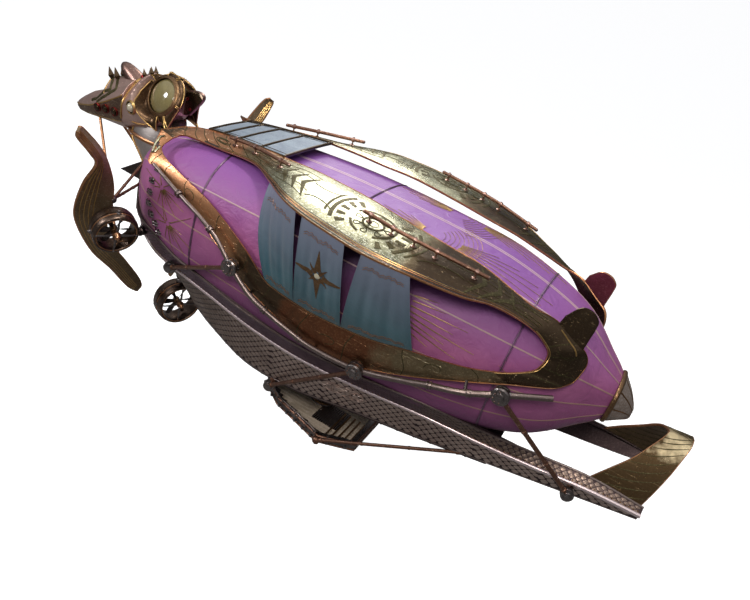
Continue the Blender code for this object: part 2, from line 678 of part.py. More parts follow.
def make_bow_deck(frames, envelope_body):
    grid = [[(x, share * half, z) for share in (-1, 0, 1)] for x, half, z in BOW_DECK]
    deck = plate("bow_deck", grid, DECK_THICK, (0.0, 0.0, 0.0), "slate")
    posts = []
    table = np.array(BOW_DECK)
    profile = [(0, POST_RADIUS), (DECK_POST_LENGTH, POST_RADIUS)]
    for x, y in DECK_POSTS:
        for side in SIDES.values():
            top = (x, y * side, np.interp(x, table[:, 0], table[:, 2]) - DECK_THICK / 2)
            posts.append(turned("deck post", top, (0, 0, -1), profile, segments=8))
    join(deck, posts)
    clear_of(deck, envelope_body, frames["cowl_port"], frames["cowl_starboard"])


def head_ring(x, half, low, high):
    angles = 2 * math.pi * (np.arange(HEAD_SEGMENTS) + 0.5) / HEAD_SEGMENTS
    cosines, sines = np.cos(angles), np.sin(angles)
    reach = (np.abs(cosines) ** 2.6 + np.abs(sines) ** 2.6) ** (-1 / 2.6)
    middle, tall = (low + high) / 2, (high - low) / 2
    widths = half * (1 - HEAD_TAPER * np.clip(reach * sines, 0, 1) ** 1.5)
    return [(x, w * r * c, middle + tall * r * s) for w, r, c, s in zip(widths, reach, cosines, sines)]


def ring(name, centre, direction, section, material, segments=20):
    """A ring about the direction: its section is a closed outline of (distance, radius)."""
    forward, aside, upward = frame_along(direction)
    points, count = [], len(section)
    for angle in 2 * math.pi * np.arange(segments) / segments:
        outwards = math.cos(angle) * aside + math.sin(angle) * upward
        points += [np.array(centre) + forward * along + outwards * radius for along, radius in section]
    faces = []
    for here in range(segments):
        there = (here + 1) % segments
        for corner in range(count):
            beside = (corner + 1) % count
            one, two = here * count, there * count
            faces.append((one + corner, one + beside, two + beside, two + corner))
    return build(name, points, faces, material)


def make_figurehead(envelope_body, stem, strakes):
    snout = tube("snout", [head_ring(*row) for row in SNOUT], "copper")
    skull = tube("skull", [head_ring(*row) for row in SKULL], "copper")
    for side in SIDES.values():
        profile = [(EYE_SEAT, EYE_SEAT_RADIUS), (2.0, EYE_SEAT_RADIUS)]
        seat = turned("eye seat", mirrored(EYE, side), mirrored(EYE_AXIS, side), profile, segments=24)
        boolean(skull, helper(seat), "DIFFERENCE")
    clear_of(skull, envelope_body)
    rings = []
    for x, z, length, width in NECK:
        angles = 2 * math.pi * np.arange(12) / 12
        rings.append([(x + length * math.cos(a), width * math.sin(a), z) for a in angles])
    neck = tube("neck", rings, "dark_bronze")
    clear_of(neck, skull, snout, envelope_body)
    horn = turned("horn", HORN_ROOT, HORN_LEAN, HORN, "copper")
    clear_of(horn, snout, skull)
    crest = extrusion("crest", CREST, 1, -CREST_THICK / 2, CREST_THICK / 2, "dark_bronze")
    clear_of(crest, skull)
    spike = extrusion("throat_spike", SPIKE, 1, -SPIKE_THICK / 2, SPIKE_THICK / 2, "copper")
    clear_of(spike, neck, envelope_body, stem, *strakes.values())
    for word, side in SIDES.items():
        centre, axis = mirrored(EYE, side), mirrored(EYE_AXIS, side)
        section = [
            (EYE_DOME[0][0], EYE_RADIUS),
            (EYE_RING_HEIGHT, EYE_RADIUS),
            (EYE_RING_HEIGHT, EYE_RADIUS + 0.06),
            (EYE_RING_HEIGHT / 2, EYE_RING_OUTER),
            (EYE_DOME[0][0], EYE_RING_OUTER),
        ]
        eye_ring = ring(f"eye_ring_{word}", centre, axis, section, "bronze", EYE_SEGMENTS)
        dome = [(along, (EYE_RADIUS - GAP) * share) for along, share in EYE_DOME]
        turned(f"eye_{word}", centre, axis, dome, "eye_glass", EYE_SEGMENTS)
        other_side = extrusion("other side", OTHER_SIDE, 1, EYE_APART * side, -1.0 * side)
        boolean(eye_ring, helper(other_side), "DIFFERENCE")
    return snout


def envelope_normal(x, y, z):
    """Outward direction, square to the axis, of the superellipse through the point."""
    half = half_width(x)
    wide, high = abs(y / half), abs(z / (half * FLATNESS))
    normal = np.array([
        0.0,
        math.copysign(wide ** (SQUARENESS - 1) / half, y),
        math.copysign(high ** (SQUARENESS - 1) / (half * FLATNESS), z),
    ])
    return normal / np.linalg.norm(normal)


def make_rails(grid, below, frames, strakes, keel):
    """Rail pipe, its drums and its feet on the lower band, then the three struts from the drums."""
    for word, side in SIDES.items():
        rail = round_bar(f"rail_{word}", mirrored(RAIL, side), RAIL_RADIUS, "dark_bronze", 6)
        joined, drum_ends = [], []
        for row in DRUMS:
            outwards = mirrored(envelope_normal(*RAIL[row]), side)
            middle = mirrored(RAIL[row], side)
            profile = [
                (-DRUM_INNER, DRUM_RADIUS),
                (DRUM_REACH - DRUM_EDGE, DRUM_RADIUS),
                (DRUM_REACH, DRUM_RADIUS - DRUM_EDGE),
            ]
            joined.append(turned(f"drum {row}", middle, outwards, profile, segments=10))
            drum_ends.append(middle + outwards * DRUM_REACH * 0.6)
        for station, row in RAIL_FEET:
            on_band = mirrored((grid[station, 1] + below[station, 1]) / 2, side)
            joined.append(rod(f"foot {row}", mirrored(RAIL[row], side), on_band, FOOT_RADIUS, segments=6))
        join(rail, joined)
        clear_of(rail, frames[f"lower_band_{word}"])
        for kind, drum, ball, root in STRUTS:
            ball = mirrored(ball, side)
            strut = rod(f"{kind}_{word}", drum_ends[drum], ball, STRUT_RADIUS, "bronze", BALL_RADIUS)
            join(strut, [rod("stub", ball, mirrored(root, side), STRUT_RADIUS, segments=8)])
            clear_of(strut, rail, strakes[word], keel)


def make_wings(snout, envelope_body):
    table = smooth_rows(WING, 2)
    shares = np.linspace(0, 1, 4)[:, None]
    grid = table[:, None, :3] * (1 - shares) + table[:, None, 3:] * shares
    normals = outward_normals(grid, (0.0, 0.0, 0.0))
    for word, side in SIDES.items():
        wing = plate(f"wing_{word}", mirrored(grid, side), WING_THICK, (0.0, 0.0, 0.0), "bronze")
        end = (grid - normals * WING_THICK / 2)[CHIN_ROD_ROW * 2, 2]
        start, end = mirrored(CHIN, side), mirrored(end, side)
        chin_rod = rod(f"chin_rod_{word}", start, end, CHIN_ROD_RADIUS, "bronze")
        clear_of(chin_rod, snout, wing)
        hub = mirrored(STAY_HUB, side)
        stay = turned(f"wing_stay_{word}", hub, (0, 0, 1), ball_profile(0, STAY_BALL), "bronze", 11)
        join(stay, [rod("stay", hub, mirrored(foot, side), STRUT_RADIUS * 0.7) for foot in STAY_FEET])
        clear_of(stay, wing, envelope_body)


def make_fan(name, centre, direction, size, *carriers, arm_end=None):
    """A duct with its guard, hub and shaft, on an arm or a swivel, and the rotor on the shaft."""
    forward, aside, upward = frame_along(direction)
    centre = np.array(centre, float)
    half, outer, inner = DUCT_LENGTH / 2 * size, DUCT_OUTER * size, DUCT_INNER * size
    section = [
        (-half, inner + 0.04),
        (-half + 0.08, inner),
        (half - 0.08, inner),
        (half, inner + 0.06),
        (half - 0.16, outer),
        (-half + 0.16, outer),
    ]
    duct = ring(f"duct_{name}", centre, direction, section, "dark_bronze")
    hub_middle = centre + forward * GUARD_X
    parts = []
    for turn in range(4):
        angle = math.pi / 2 * turn
        outwards = math.cos(angle) * aside + math.sin(angle) * upward
        start, end = hub_middle + outwards * 0.10, hub_middle + outwards * (inner + outer) / 2
        parts.append(rod(f"arm {turn}", start, end, 0.035, segments=6))
    hub = [(-HUB_BACK, 0.13), (0.05, 0.17), (0.18, 0.14), (0.28, 0.05)]
    parts.append(turned("guard hub", hub_middle, direction, hub, segments=10))
    join(duct, parts)
    shaft = [(-SHAFT_LENGTH, SHAFT_RADIUS), (0.0, SHAFT_RADIUS)]
    join(duct, [turned("shaft", hub_middle, direction, shaft, segments=SHAFT_SEGMENTS)])
    if arm_end is not None:
        sideways = np.array(arm_end) - centre
        sideways -= forward * (sideways @ forward)
        near = centre + sideways * (inner + outer) / 2 / np.linalg.norm(sideways)
        reach = np.linalg.norm(np.array(arm_end) - near)
        profile = [(0.0, 0.12), (reach * 0.55, 0.14), (reach, 0.30), (reach + 0.30, 0.36)]
        join(duct, [turned("outrigger", near, np.array(arm_end) - near, profile)])
        clear_of(duct, *carriers)
    else:
        top = centre + np.array([0.0, 0.0, outer - SWIVEL_SEAT])
        swivel = [(0.0, SWIVEL_RADIUS), (SWIVEL_HEIGHT, SWIVEL_RADIUS)]
        join(duct, [turned("swivel", top, (0, 0, 1), swivel, segments=20)])
        foot = top + np.array([0.0, 0.0, SWIVEL_HEIGHT + GAP])
        profile = [(0.0, SWIVEL_RADIUS), (0.12, 0.22), (1.5, 0.34)]
        pylon = turned(f"pylon_{name}", foot, (0, 0, 1), profile, "dark_bronze", 20)
        clear_of(pylon, *carriers)
    boss = [(-BOSS_LENGTH, 0.10), (0.08 - BOSS_LENGTH, 0.15), (0.0, 0.15)]
    middle = centre + forward * (GUARD_X - HUB_BACK - ROTOR_SEAT)
    rotor = turned(f"rotor_{name}", middle, direction, boss, "dark_bronze", 12, origin=tuple(centre))
    blades = rotor_blades(middle - forward * BOSS_LENGTH / 2, forward, aside, upward, ROTOR_RADIUS * size)
    join(rotor, [blades])
    bore_radius = (SHAFT_RADIUS + SHAFT_CLEARANCE) / math.cos(math.pi / SHAFT_SEGMENTS)
    bore_profile = [(-SHAFT_LENGTH - 0.02, bore_radius), (0.2, bore_radius)]
    bore = turned("bore", hub_middle, direction, bore_profile, segments=SHAFT_SEGMENTS)
    boolean(rotor, helper(bore), "DIFFERENCE")


def rotor_blades(middle, forward, aside, upward, reach):
    """Twisted blades round the boss, as one mesh of separate closed bodies."""
    points, faces = [], []
    for blade in range(ROTOR_BLADES):
        angle = 2 * math.pi * blade / ROTOR_BLADES
        outwards = math.cos(angle) * aside + math.sin(angle) * upward
        along = np.cross(forward, outwards)
        start = len(points)
        for radius, chord, pitch in ((0.09, 0.14, 50), (0.55 * reach, 0.24, 35), (reach, 0.20, 22)):
            lean = math.radians(pitch)
            chord_way = math.cos(lean) * along + math.sin(lean) * forward
            thick_way = -math.sin(lean) * along + math.cos(lean) * forward
            for across, thick in ((-0.5, 0.0), (0.0, 0.014), (0.5, 0.0), (0.0, -0.014)):
                points.append(middle + outwards * radius + chord_way * chord * across + thick_way * thick)
        faces += grid_faces(3, 4, wrap=True, start=start)
        faces += [(start, start + 1, start + 2, start + 3), (start + 8, start + 9, start + 10, start + 11)]
    return build("blades", points, faces)


def make_under_deck(keel, hull_body):
    outline = [(x, y) for x, y in UNDER_DECK] + [(x, -y) for x, y in reversed(UNDER_DECK)]
    deck = extrusion("under_deck", outline, 2, UNDER_DECK_BASE, UNDER_DECK_TOP, "scale_plate")
    middle = sum(x for x, _ in UNDER_DECK) / len(UNDER_DECK)
    well = [(middle + (x - middle) * UNDER_DECK_RIM, y * UNDER_DECK_RIM) for x, y in outline]
    boolean(deck, helper(extrusion("well", well, 2, UNDER_DECK_FLOOR, 0.0)), "DIFFERENCE")
    profile = [(along, PYLON_RADIUS * share) for along, share in DECK_PYLON_PROFILE]
    foot = (*DECK_PYLON, (UNDER_DECK_BASE + UNDER_DECK_FLOOR) / 2)
    join(deck, [turned("deck pylon", foot, (0, 0, 1), profile, segments=8)])
    clear_of(deck, keel, hull_body)
    for word, side in SIDES.items():
        start, end = mirrored(LONG_ROD[1], side), mirrored(LONG_ROD[0], side)
        long_rod = rod(f"long_rod_{word}", start, end, STRUT_RADIUS, "bronze", BALL_RADIUS)
        clear_of(long_rod, deck, hull_body, keel)


def make_handrails(grid, below, frames):
    for kind, stations in HANDRAILS.items():
        for word, side in SIDES.items():
            tops = mirrored(grid[list(stations), 1] + (0, 0, HANDRAIL_HEIGHT), side)
            before, after = tops[0] * 2 - tops[1], tops[-1] * 2 - tops[-2]
            path = np.array([tops[0] * 0.7 + before * 0.3, *tops, tops[-1] * 0.7 + after * 0.3])
            handrail = round_bar(f"{kind}_{word}", path, HANDRAIL_BAR, "dark_bronze", 6)
            feet = mirrored((grid[list(stations), 1] + below[list(stations), 1]) / 2, side)
            ends = zip(tops, feet)
            join(handrail, [rod("post", top, foot, HANDRAIL_POST, segments=6) for top, foot in ends])
            clear_of(handrail, frames[f"cowl_{word}"])


def make_drapes(grid, below, frames):
    """Cloth panels from the window's upper edge to its lower edge, as thin bowed plates."""
    middle = (grid[:, 2] + below[:, 2]) / 2
    cowl_edge = middle[: FRAME_STEPS * (len(COWL) - 1) + 1]
    band_edge = middle[-FRAME_STEPS * (len(LOWER_BAND) - 1) :][::-1]

    def on_edge(edge, x):
        return np.array([x, np.interp(x, edge[:, 0], edge[:, 1]), np.interp(x, edge[:, 0], edge[:, 2])])

    for number, (top_front, top_rear, foot_front, foot_rear) in enumerate(DRAPES, 1):
        shares, down = np.linspace(0, 1, 4), np.linspace(0, 1, 5)
        sheet = []
        for share in shares:
            top = on_edge(cowl_edge, top_front + (top_rear - top_front) * share)
            foot = on_edge(band_edge, foot_front + (foot_rear - foot_front) * share)
            bulge = [(0, DRAPE_BULGE * 4 * s * (1 - s), 0) for s in down]
            sheet.append([top + (foot - top) * s + out for s, out in zip(down, bulge)])
        sheet = mirrored(sheet, PORT)
        drape = plate(f"drape_{number}_port", sheet, DRAPE_THICK, (0, 0, 0), "drape_cloth")
        clear_of(drape, frames["cowl_port"], frames["lower_band_port"])


def main():
    clear_scene()
    _, envelope_body = make_envelope()
    make_tail_cap()
    strakes, hull_body = make_hull(envelope_body)
    stem, keel = make_keel(strakes, envelope_body)
    make_tail_loop(strakes)
    grid, below, frames = make_frames(envelope_body)
    make_fins(grid, below, frames)
    make_bow_deck(frames, envelope_body)
    snout = make_figurehead(envelope_body, stem, strakes)
    make_wings(snout, envelope_body)
    make_under_deck(keel, hull_body)
    make_rails(grid, below, frames, strakes, keel)
    for word, side in SIDES.items():
        centre, direction, arm_end = (mirrored(value, side) for value in (*SIDE_FAN[:2], SIDE_ARM_END))
        make_fan(word, centre, direction, SIDE_FAN[2], hull_body, envelope_body, arm_end=arm_end)
    make_fan("belly", *BELLY_FAN, hull_body, keel)
    make_handrails(grid, below, frames)
    make_drapes(grid, below, frames)


main()
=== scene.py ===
import bmesh
import bpy
import numpy as np
from mathutils import Matrix
from numpy import arange, array, broadcast_to, clip, concatenate, cos, cross, diff, full, gradient, interp
from numpy import linspace, maximum, pi, radians, sin, stack, vstack


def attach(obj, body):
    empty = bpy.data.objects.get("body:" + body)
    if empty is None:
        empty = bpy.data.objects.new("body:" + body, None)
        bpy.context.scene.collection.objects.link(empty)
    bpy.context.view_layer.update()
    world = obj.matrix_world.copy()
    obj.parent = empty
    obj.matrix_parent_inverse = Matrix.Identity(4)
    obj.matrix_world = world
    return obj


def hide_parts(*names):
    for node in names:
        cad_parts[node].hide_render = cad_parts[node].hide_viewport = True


# Bronze-framed airship, seen from above its port quarter. Metres, bow towards -X, starboard towards +Y.
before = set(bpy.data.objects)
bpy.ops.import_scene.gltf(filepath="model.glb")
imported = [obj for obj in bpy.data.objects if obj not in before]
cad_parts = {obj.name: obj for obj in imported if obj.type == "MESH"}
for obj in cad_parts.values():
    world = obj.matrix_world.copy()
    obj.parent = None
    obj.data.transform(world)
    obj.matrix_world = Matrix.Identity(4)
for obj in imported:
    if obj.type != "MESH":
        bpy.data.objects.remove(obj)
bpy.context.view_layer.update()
sides = {"port": -1, "starboard": 1}


# Shapes: each is (points, faces, uv), and piece() makes one object of several.

# Catmull-Rom curve through the rows: h00 P0 + h10 M0 + h01 P1 + h11 M1, slopes M = (next - previous) / 2.
def smoothRows(rows, steps):
    rows = array(rows, float)
    slopes = gradient(vstack([2 * rows[0] - rows[1], rows, 2 * rows[-1] - rows[-2]]), axis=0)[1:-1]
    t = (arange(steps) / steps)[:, None, None]
    spans = (2 * t**3 - 3 * t**2 + 1) * rows[:-1] + (t**3 - 2 * t**2 + t) * slopes[:-1]
    spans = spans + (3 * t**2 - 2 * t**3) * rows[1:] + (t**3 - t**2) * slopes[1:]
    return vstack([spans.transpose(1, 0, 2).reshape(-1, rows.shape[1]), rows[-1:]])


def unit(vectors):
    return vectors / maximum(np.linalg.norm(vectors, axis=-1, keepdims=True), 1e-12)


# Normal of the surface P(s, t): dP/ds x dP/dt, turned to point away from the centre.
def normalsOf(grid, centre=(0, 0, 0)):
    normals = unit(cross(gradient(grid, axis=0), gradient(grid, axis=1)))
    return normals if (normals * (grid - array(centre))).sum() > 0 else -normals


def gridFaces(rows, columns, wrap=False, start=0):
    r, c = np.meshgrid(arange(rows - 1), arange(columns if wrap else columns - 1), indexing="ij")
    beside = (c + 1) % columns
    faces = stack([r * columns + c, r * columns + beside, (r + 1) * columns + beside, (r + 1) * columns + c])
    return (faces.reshape(4, -1).T + start).tolist()


# Metres along a grid and across it: u = sum |dP/ds|, v = sum |dP/dt|.
def metres(grid):
    along = np.linalg.norm(diff(grid, axis=0), axis=2).mean(axis=1)
    across = np.linalg.norm(diff(grid, axis=1), axis=2)
    u = concatenate([[0], np.cumsum(along)])[:, None] + np.zeros(grid.shape[1])
    v = np.hstack([np.zeros((len(grid), 1)), np.cumsum(across, axis=1)])
    return stack([u, v], axis=2)


# A closed slab between two grids: P(s, t, 0) = outer, P(s, t, 1) = inner, with walls round the rim.
def slab(outer, inner):
    rows, columns = outer.shape[:2]
    size = rows * columns
    rim = [row * columns for row in range(rows)]
    rim += [(rows - 1) * columns + column for column in range(1, columns)]
    rim += [row * columns + columns - 1 for row in range(rows - 2, -1, -1)]
    rim += list(range(columns - 2, 0, -1))
    faces = gridFaces(rows, columns) + gridFaces(rows, columns, start=size)
    faces += [[a, b, b + size, a + size] for a, b in zip(rim, rim[1:] + rim[:1])]
    uv = metres(outer).reshape(-1, 2)
    return vstack([outer.reshape(-1, 3), inner.reshape(-1, 3)]), faces, vstack([uv, uv])


# A closed skin of rings: P(s, a) = ring s at angle a, each end filled.
def skin(rings):
    rings = array(rings, float)
    rows, columns = rings.shape[:2]
    faces = gridFaces(rows, columns, wrap=True)
    faces += [list(range(columns)), list(range((rows - 1) * columns, rows * columns))]
    closed = concatenate([rings, rings[:, :1]], axis=1)
    return rings.reshape(-1, 3), faces, metres(closed)[:, :-1].reshape(-1, 2)


# Bars along paths: P(s, a) = path(s) + wide(s) cos a across(s) + high(s) sin a up(s).
def bars(paths, ups, wide, high, around=8):
    paths = array(paths, float)
    paths = paths[None] if paths.ndim == 2 else paths
    ups = broadcast_to(array(ups, float), paths.shape)
    tangents = unit(gradient(paths, axis=1))
    across = unit(cross(tangents, ups))
    ups = cross(across, tangents)
    wide = broadcast_to(array(wide, float), paths.shape[:2])[:, :, None, None]
    high = broadcast_to(array(high, float), paths.shape[:2])[:, :, None, None]
    angles = (2 * pi * (arange(around) + 0.5) / around)[:, None]
    points = paths[:, :, None] + wide * cos(angles) * across[:, :, None] + high * sin(angles) * ups[:, :, None]
    return together([skin(rings) for rings in points])


# Three axes of a turned shape: forward along the direction, aside level where it can be, upward across both.
def axesOf(direction):
    forward = unit(array(direction, float))
    aside = unit(cross(forward, (0, 0, 1) if abs(forward[2]) < 0.9 else (1, 0, 0)))
    upward = cross(aside, forward)
    return forward, aside, upward


# Solid of revolution: P(s, a) = start + d(s) forward + r(s) (cos a aside + sin a upward).
def turned(start, direction, profile, around=24):
    forward, aside, upward = axesOf(direction)
    angles = (2 * pi * arange(around) / around)[:, None]
    distance, radius = array(profile, float).T
    rings = array(start) + distance[:, None, None] * forward
    return skin(rings + radius[:, None, None] * (cos(angles) * aside + sin(angles) * upward))


# A ring: a closed section of (distance, radius) swept round the direction, as turned() but open in the
# middle.
def hoopOf(start, direction, section, around=48):
    forward, aside, upward = axesOf(direction)
    angles = (2 * pi * arange(around) / around)[:, None, None]
    section = array(section, float)
    outwards = cos(angles) * aside + sin(angles) * upward
    grid = array(start) + section[:, 0, None] * forward + section[:, 1, None] * outwards
    closed = concatenate([grid, grid[:1]])
    faces = gridFaces(around + 1, len(section), wrap=True)
    count = around * len(section)
    faces = [[index % count for index in face] for face in faces]
    return grid.reshape(-1, 3), faces, metres(closed)[:-1].reshape(-1, 2)


# Copies of one small shape: P = place + size (x along + y across + z up).
def scattered(shape, places, along, up, sizes):
    points, faces, uv = shape
    places, up = array(places, float), unit(broadcast_to(array(up, float), np.shape(places)))
    along = unit(broadcast_to(array(along, float), places.shape))
    across = unit(cross(up, along))
    along = cross(across, up)
    sizes = broadcast_to(array(sizes, float), (len(places),))[:, None, None]
    axes = stack([along, across, up], axis=1)
    copies = places[:, None] + sizes * np.einsum("kj,njd->nkd", points, axes)
    count = len(points)
    every = [[index + number * count for index in face] for number in range(len(places)) for face in faces]
    return copies.reshape(-1, 3), every, np.tile(uv, (len(places), 1))


def together(shapes):
    points, faces, uv, start = [], [], [], 0
    for some, their, flat in shapes:
        points.append(some)
        uv.append(flat)
        faces += [[index + start for index in face] for face in their]
        start += len(some)
    return vstack(points), faces, vstack(uv)


def mirrored(points, side):
    return array(points, float) * (1, side, 1)


# One object of the shapes, its faces turned outwards, riding on a body, in place of the CAD nodes named.
def piece(name, metal, shapes, body="hull", slot=None, stands=(), sharp=38, bevel=0.0):
    points, faces, uv = together(shapes)
    mesh = bpy.data.meshes.new(name)
    mesh.from_pydata(points.tolist(), [], faces)
    shape = bmesh.new()
    shape.from_mesh(mesh)
    bmesh.ops.recalc_face_normals(shape, faces=shape.faces)
    shape.to_mesh(mesh)
    shape.free()
    corners = np.empty(len(mesh.loops), np.int32)
    mesh.loops.foreach_get("vertex_index", corners)
    layer = mesh.uv_layers.new(name="metres")
    layer.data.foreach_set("uv", uv[corners].astype(np.float32).ravel())
    mesh.shade_smooth()
    mesh.set_sharp_from_angle(angle=radians(sharp))
    obj = bpy.data.objects.new(name, mesh)
    bpy.context.scene.collection.objects.link(obj)
    mesh.materials.append(paint[metal])
    if bevel:
        edge = obj.modifiers.new("soft edges", "BEVEL")
        edge.width, edge.segments, edge.limit_method = bevel, 2, "ANGLE"
        edge.harden_normals = False
    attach(obj, body)
    if stands:
        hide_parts(*stands)
    return obj


# Pieces for both sides from shapes made for starboard; {} in a name becomes port or starboard.
def pair(name, metal, shapes, stands=(), **finish):
    points, faces, uv = together(shapes)
    for word, side in sides.items():
        nodes = [node.format(word) for node in stands]
        piece(name.format(word), metal, [(mirrored(points, side), faces, uv)], stands=nodes, **finish)


# The shapes made for starboard and their mirror image.
def twice(shapes):
    return shapes + [(mirrored(points, -1), faces, uv) for points, faces, uv in shapes]


# The CAD node's own shape, merged, as (points, faces, uv): u along X and v up Z.
def cadShape(node):
    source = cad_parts[node]
    shape = bmesh.new()
    shape.from_mesh(source.data)
    shape.transform(source.matrix_world)
    bmesh.ops.remove_doubles(shape, verts=shape.verts, dist=1e-4)
    bmesh.ops.dissolve_limit(shape, angle_limit=radians(1.0), verts=shape.verts, edges=shape.edges)
    points = array([vert.co[:] for vert in shape.verts])
    faces = [[vert.index for vert in face.verts] for face in shape.faces]
    shape.free()
    return points, faces, points[:, [0, 2]]


# Materials.

def group(name, inputs, outputs):
    tree = bpy.data.node_groups.new(name, "ShaderNodeTree")
    for word, kind, value in inputs:
        tree.interface.new_socket(word, in_out="INPUT", socket_type="NodeSocket" + kind).default_value = value
    for word, kind in outputs:
        tree.interface.new_socket(word, in_out="OUTPUT", socket_type="NodeSocket" + kind)
    return tree, tree.nodes.new("NodeGroupInput"), tree.nodes.new("NodeGroupOutput")


def add(tree, kind, links=None, **values):
    made = tree.nodes.new(kind)
    for word, value in values.items():
        setattr(made, word, value)
    for socket, value in (links or {}).items():
        if isinstance(value, bpy.types.NodeSocket):
            tree.links.new(value, made.inputs[socket])
        else:
            made.inputs[socket].default_value = value
    return made


def noise(tree, where, scale, detail=5.0, roughness=0.6, distortion=0.0):
    links = {"Vector": where, "Scale": scale, "Detail": detail, "Roughness": roughness, "Distortion": distortion}
    return add(tree, "ShaderNodeTexNoise", links).outputs["Fac"]


def ramp(tree, value, low, high, toLow=0.0, toHigh=1.0):
    links = {"Value": value, "From Min": low, "From Max": high, "To Min": toLow, "To Max": toHigh}
    return add(tree, "ShaderNodeMapRange", links, clamp=True).outputs["Result"]


def maths(tree, operation, first, second=0.0):
    return add(tree, "ShaderNodeMath", {0: first, 1: second}, operation=operation).outputs[0]


def mixed(tree, share, first, second, blend="MIX"):
    made = add(tree, "ShaderNodeMix", data_type="RGBA", blend_type=blend)
    for socket, value in (("Factor", share), ("A", first), ("B", second)):
        found = [
            s for s in made.inputs if s.name == socket and s.type == ("VALUE" if socket == "Factor" else "RGBA")
        ][0]
        if isinstance(value, bpy.types.NodeSocket):
            tree.links.new(value, found)
        else:
            found.default_value = value
    return [s for s in made.outputs if s.type == "RGBA"][0]


def grey(value):
    return (value, value, value, 1.0)


# Worn metal: cloudy tarnish, small speckle and long scratches.
# Colour = mix(mix(base, tarnish, cloud), bright, max(scratch, speckle)), roughness = Rough + 0.25 cloud -
# 0.1 scratch.
def makeWornMetal():
    colours = [("Base", "Color", grey(0.5)), ("Tarnish", "Color", grey(0.1)), ("Bright", "Color", grey(0.9))]
    numbers = [
        ("Cloud Scale", "Float", 0.9), ("Cloud", "Float", 0.5), ("Speckle", "Float", 0.3),
        ("Scratch", "Float", 0.5), ("Rough", "Float", 0.35)]
    outputs = [("Color", "Color"), ("Roughness", "Float"), ("Height", "Float")]
    tree, given, result = group("worn metal", colours + numbers, outputs)
    where = add(tree, "ShaderNodeTexCoord").outputs["Object"]
    put = given.outputs
    cloud = ramp(tree, noise(tree, where, put["Cloud Scale"], 6, 0.65, 0.6), 0.36, 0.64)
    fine = noise(tree, where, 14.0, 6, 0.7)
    speckle = maths(tree, "MULTIPLY", ramp(tree, fine, 0.52, 0.66), put["Speckle"])
    stretched = add(
        tree, "ShaderNodeMapping", {"Vector": where, "Rotation": (0.5, 0.35, 0.8), "Scale": (0.5, 9.0, 9.0)}
    ).outputs[0]
    crossed = add(
        tree, "ShaderNodeMapping", {"Vector": where, "Rotation": (0.2, 1.1, 2.0), "Scale": (11.0, 0.6, 11.0)}
    ).outputs[0]
    lines = maths(
        tree, "MAXIMUM", ramp(tree, noise(tree, stretched, 2.2, 2, 0.5, 0.3), 0.66, 0.7),
        ramp(tree, noise(tree, crossed, 1.9, 2, 0.5, 0.3), 0.68, 0.72))
    scratch = maths(tree, "MULTIPLY", lines, put["Scratch"])
    dark = maths(tree, "MULTIPLY", cloud, put["Cloud"])
    pits = maths(tree, "MULTIPLY", ramp(tree, fine, 0.46, 0.34), put["Speckle"])
    dark = maths(tree, "MAXIMUM", dark, pits)
    colour = mixed(tree, dark, put["Base"], put["Tarnish"])
    light = maths(tree, "MAXIMUM", scratch, speckle)
    colour = mixed(tree, light, colour, put["Bright"])
    tree.links.new(colour, result.inputs["Color"])
    rough = maths(tree, "ADD", put["Rough"], maths(tree, "MULTIPLY", dark, 0.25))
    rough = maths(tree, "SUBTRACT", rough, maths(tree, "MULTIPLY", scratch, 0.1))
    tree.links.new(maths(tree, "MAXIMUM", rough, 0.12), result.inputs["Roughness"])
    height = maths(tree, "ADD", maths(tree, "MULTIPLY", fine, 0.5), maths(tree, "MULTIPLY", lines, -0.6))
    tree.links.new(height, result.inputs["Height"])
    return tree


# Taut cloth: broad cloud in two tones, a tint towards the top and a darker foot set by height (on the envelope
# these are painted light from above and painted shade below), fine weave and faint creases.
# Colour = mix(mix(shade, tone, cloud), top, height above the middle); height = weave + creases.
def makeTautCloth():
    colours = [
        ("Tone", "Color", grey(0.5)), ("Shade", "Color", grey(0.2)), ("Top", "Color", grey(0.6)),
        ("Foot", "Color", grey(0.1))]
    numbers = [("Low", "Float", -2.0), ("High", "Float", 3.2), ("Weave", "Float", 60.0)]
    outputs = [("Color", "Color"), ("Roughness", "Float"), ("Height", "Float")]
    tree, given, result = group("taut cloth", colours + numbers, outputs)
    where = add(tree, "ShaderNodeTexCoord").outputs["Object"]
    put = given.outputs
    height = add(tree, "ShaderNodeSeparateXYZ", {0: where}).outputs["Z"]
    cloud = ramp(tree, noise(tree, where, 0.55, 5, 0.6, 0.8), 0.35, 0.65)
    colour = mixed(tree, cloud, put["Shade"], put["Tone"])
    lift = add(tree, "ShaderNodeMapRange", {"Value": height, "From Min": 0.6, "From Max": put["High"]}).outputs[0]
    colour = mixed(tree, lift, colour, put["Top"])
    sink = add(tree, "ShaderNodeMapRange", {"Value": height, "From Min": 0.6, "From Max": put["Low"]}).outputs[0]
    colour = mixed(tree, sink, colour, put["Foot"])
    fine = noise(tree, where, put["Weave"], 3, 0.6)
    colour = mixed(tree, ramp(tree, fine, 0.3, 0.7, 0.0, 0.16), colour, put["Shade"])
    tree.links.new(colour, result.inputs["Color"])
    tree.links.new(ramp(tree, cloud, 0, 1, 0.42, 0.58), result.inputs["Roughness"])
    creases = noise(tree, where, 1.6, 4, 0.55, 1.4)
    tree.links.new(
        maths(tree, "ADD", maths(tree, "MULTIPLY", creases, 1.0), maths(tree, "MULTIPLY", fine, 0.12)),
        result.inputs["Height"])
    return tree


wornMetal = makeWornMetal()
tautCloth = makeTautCloth()


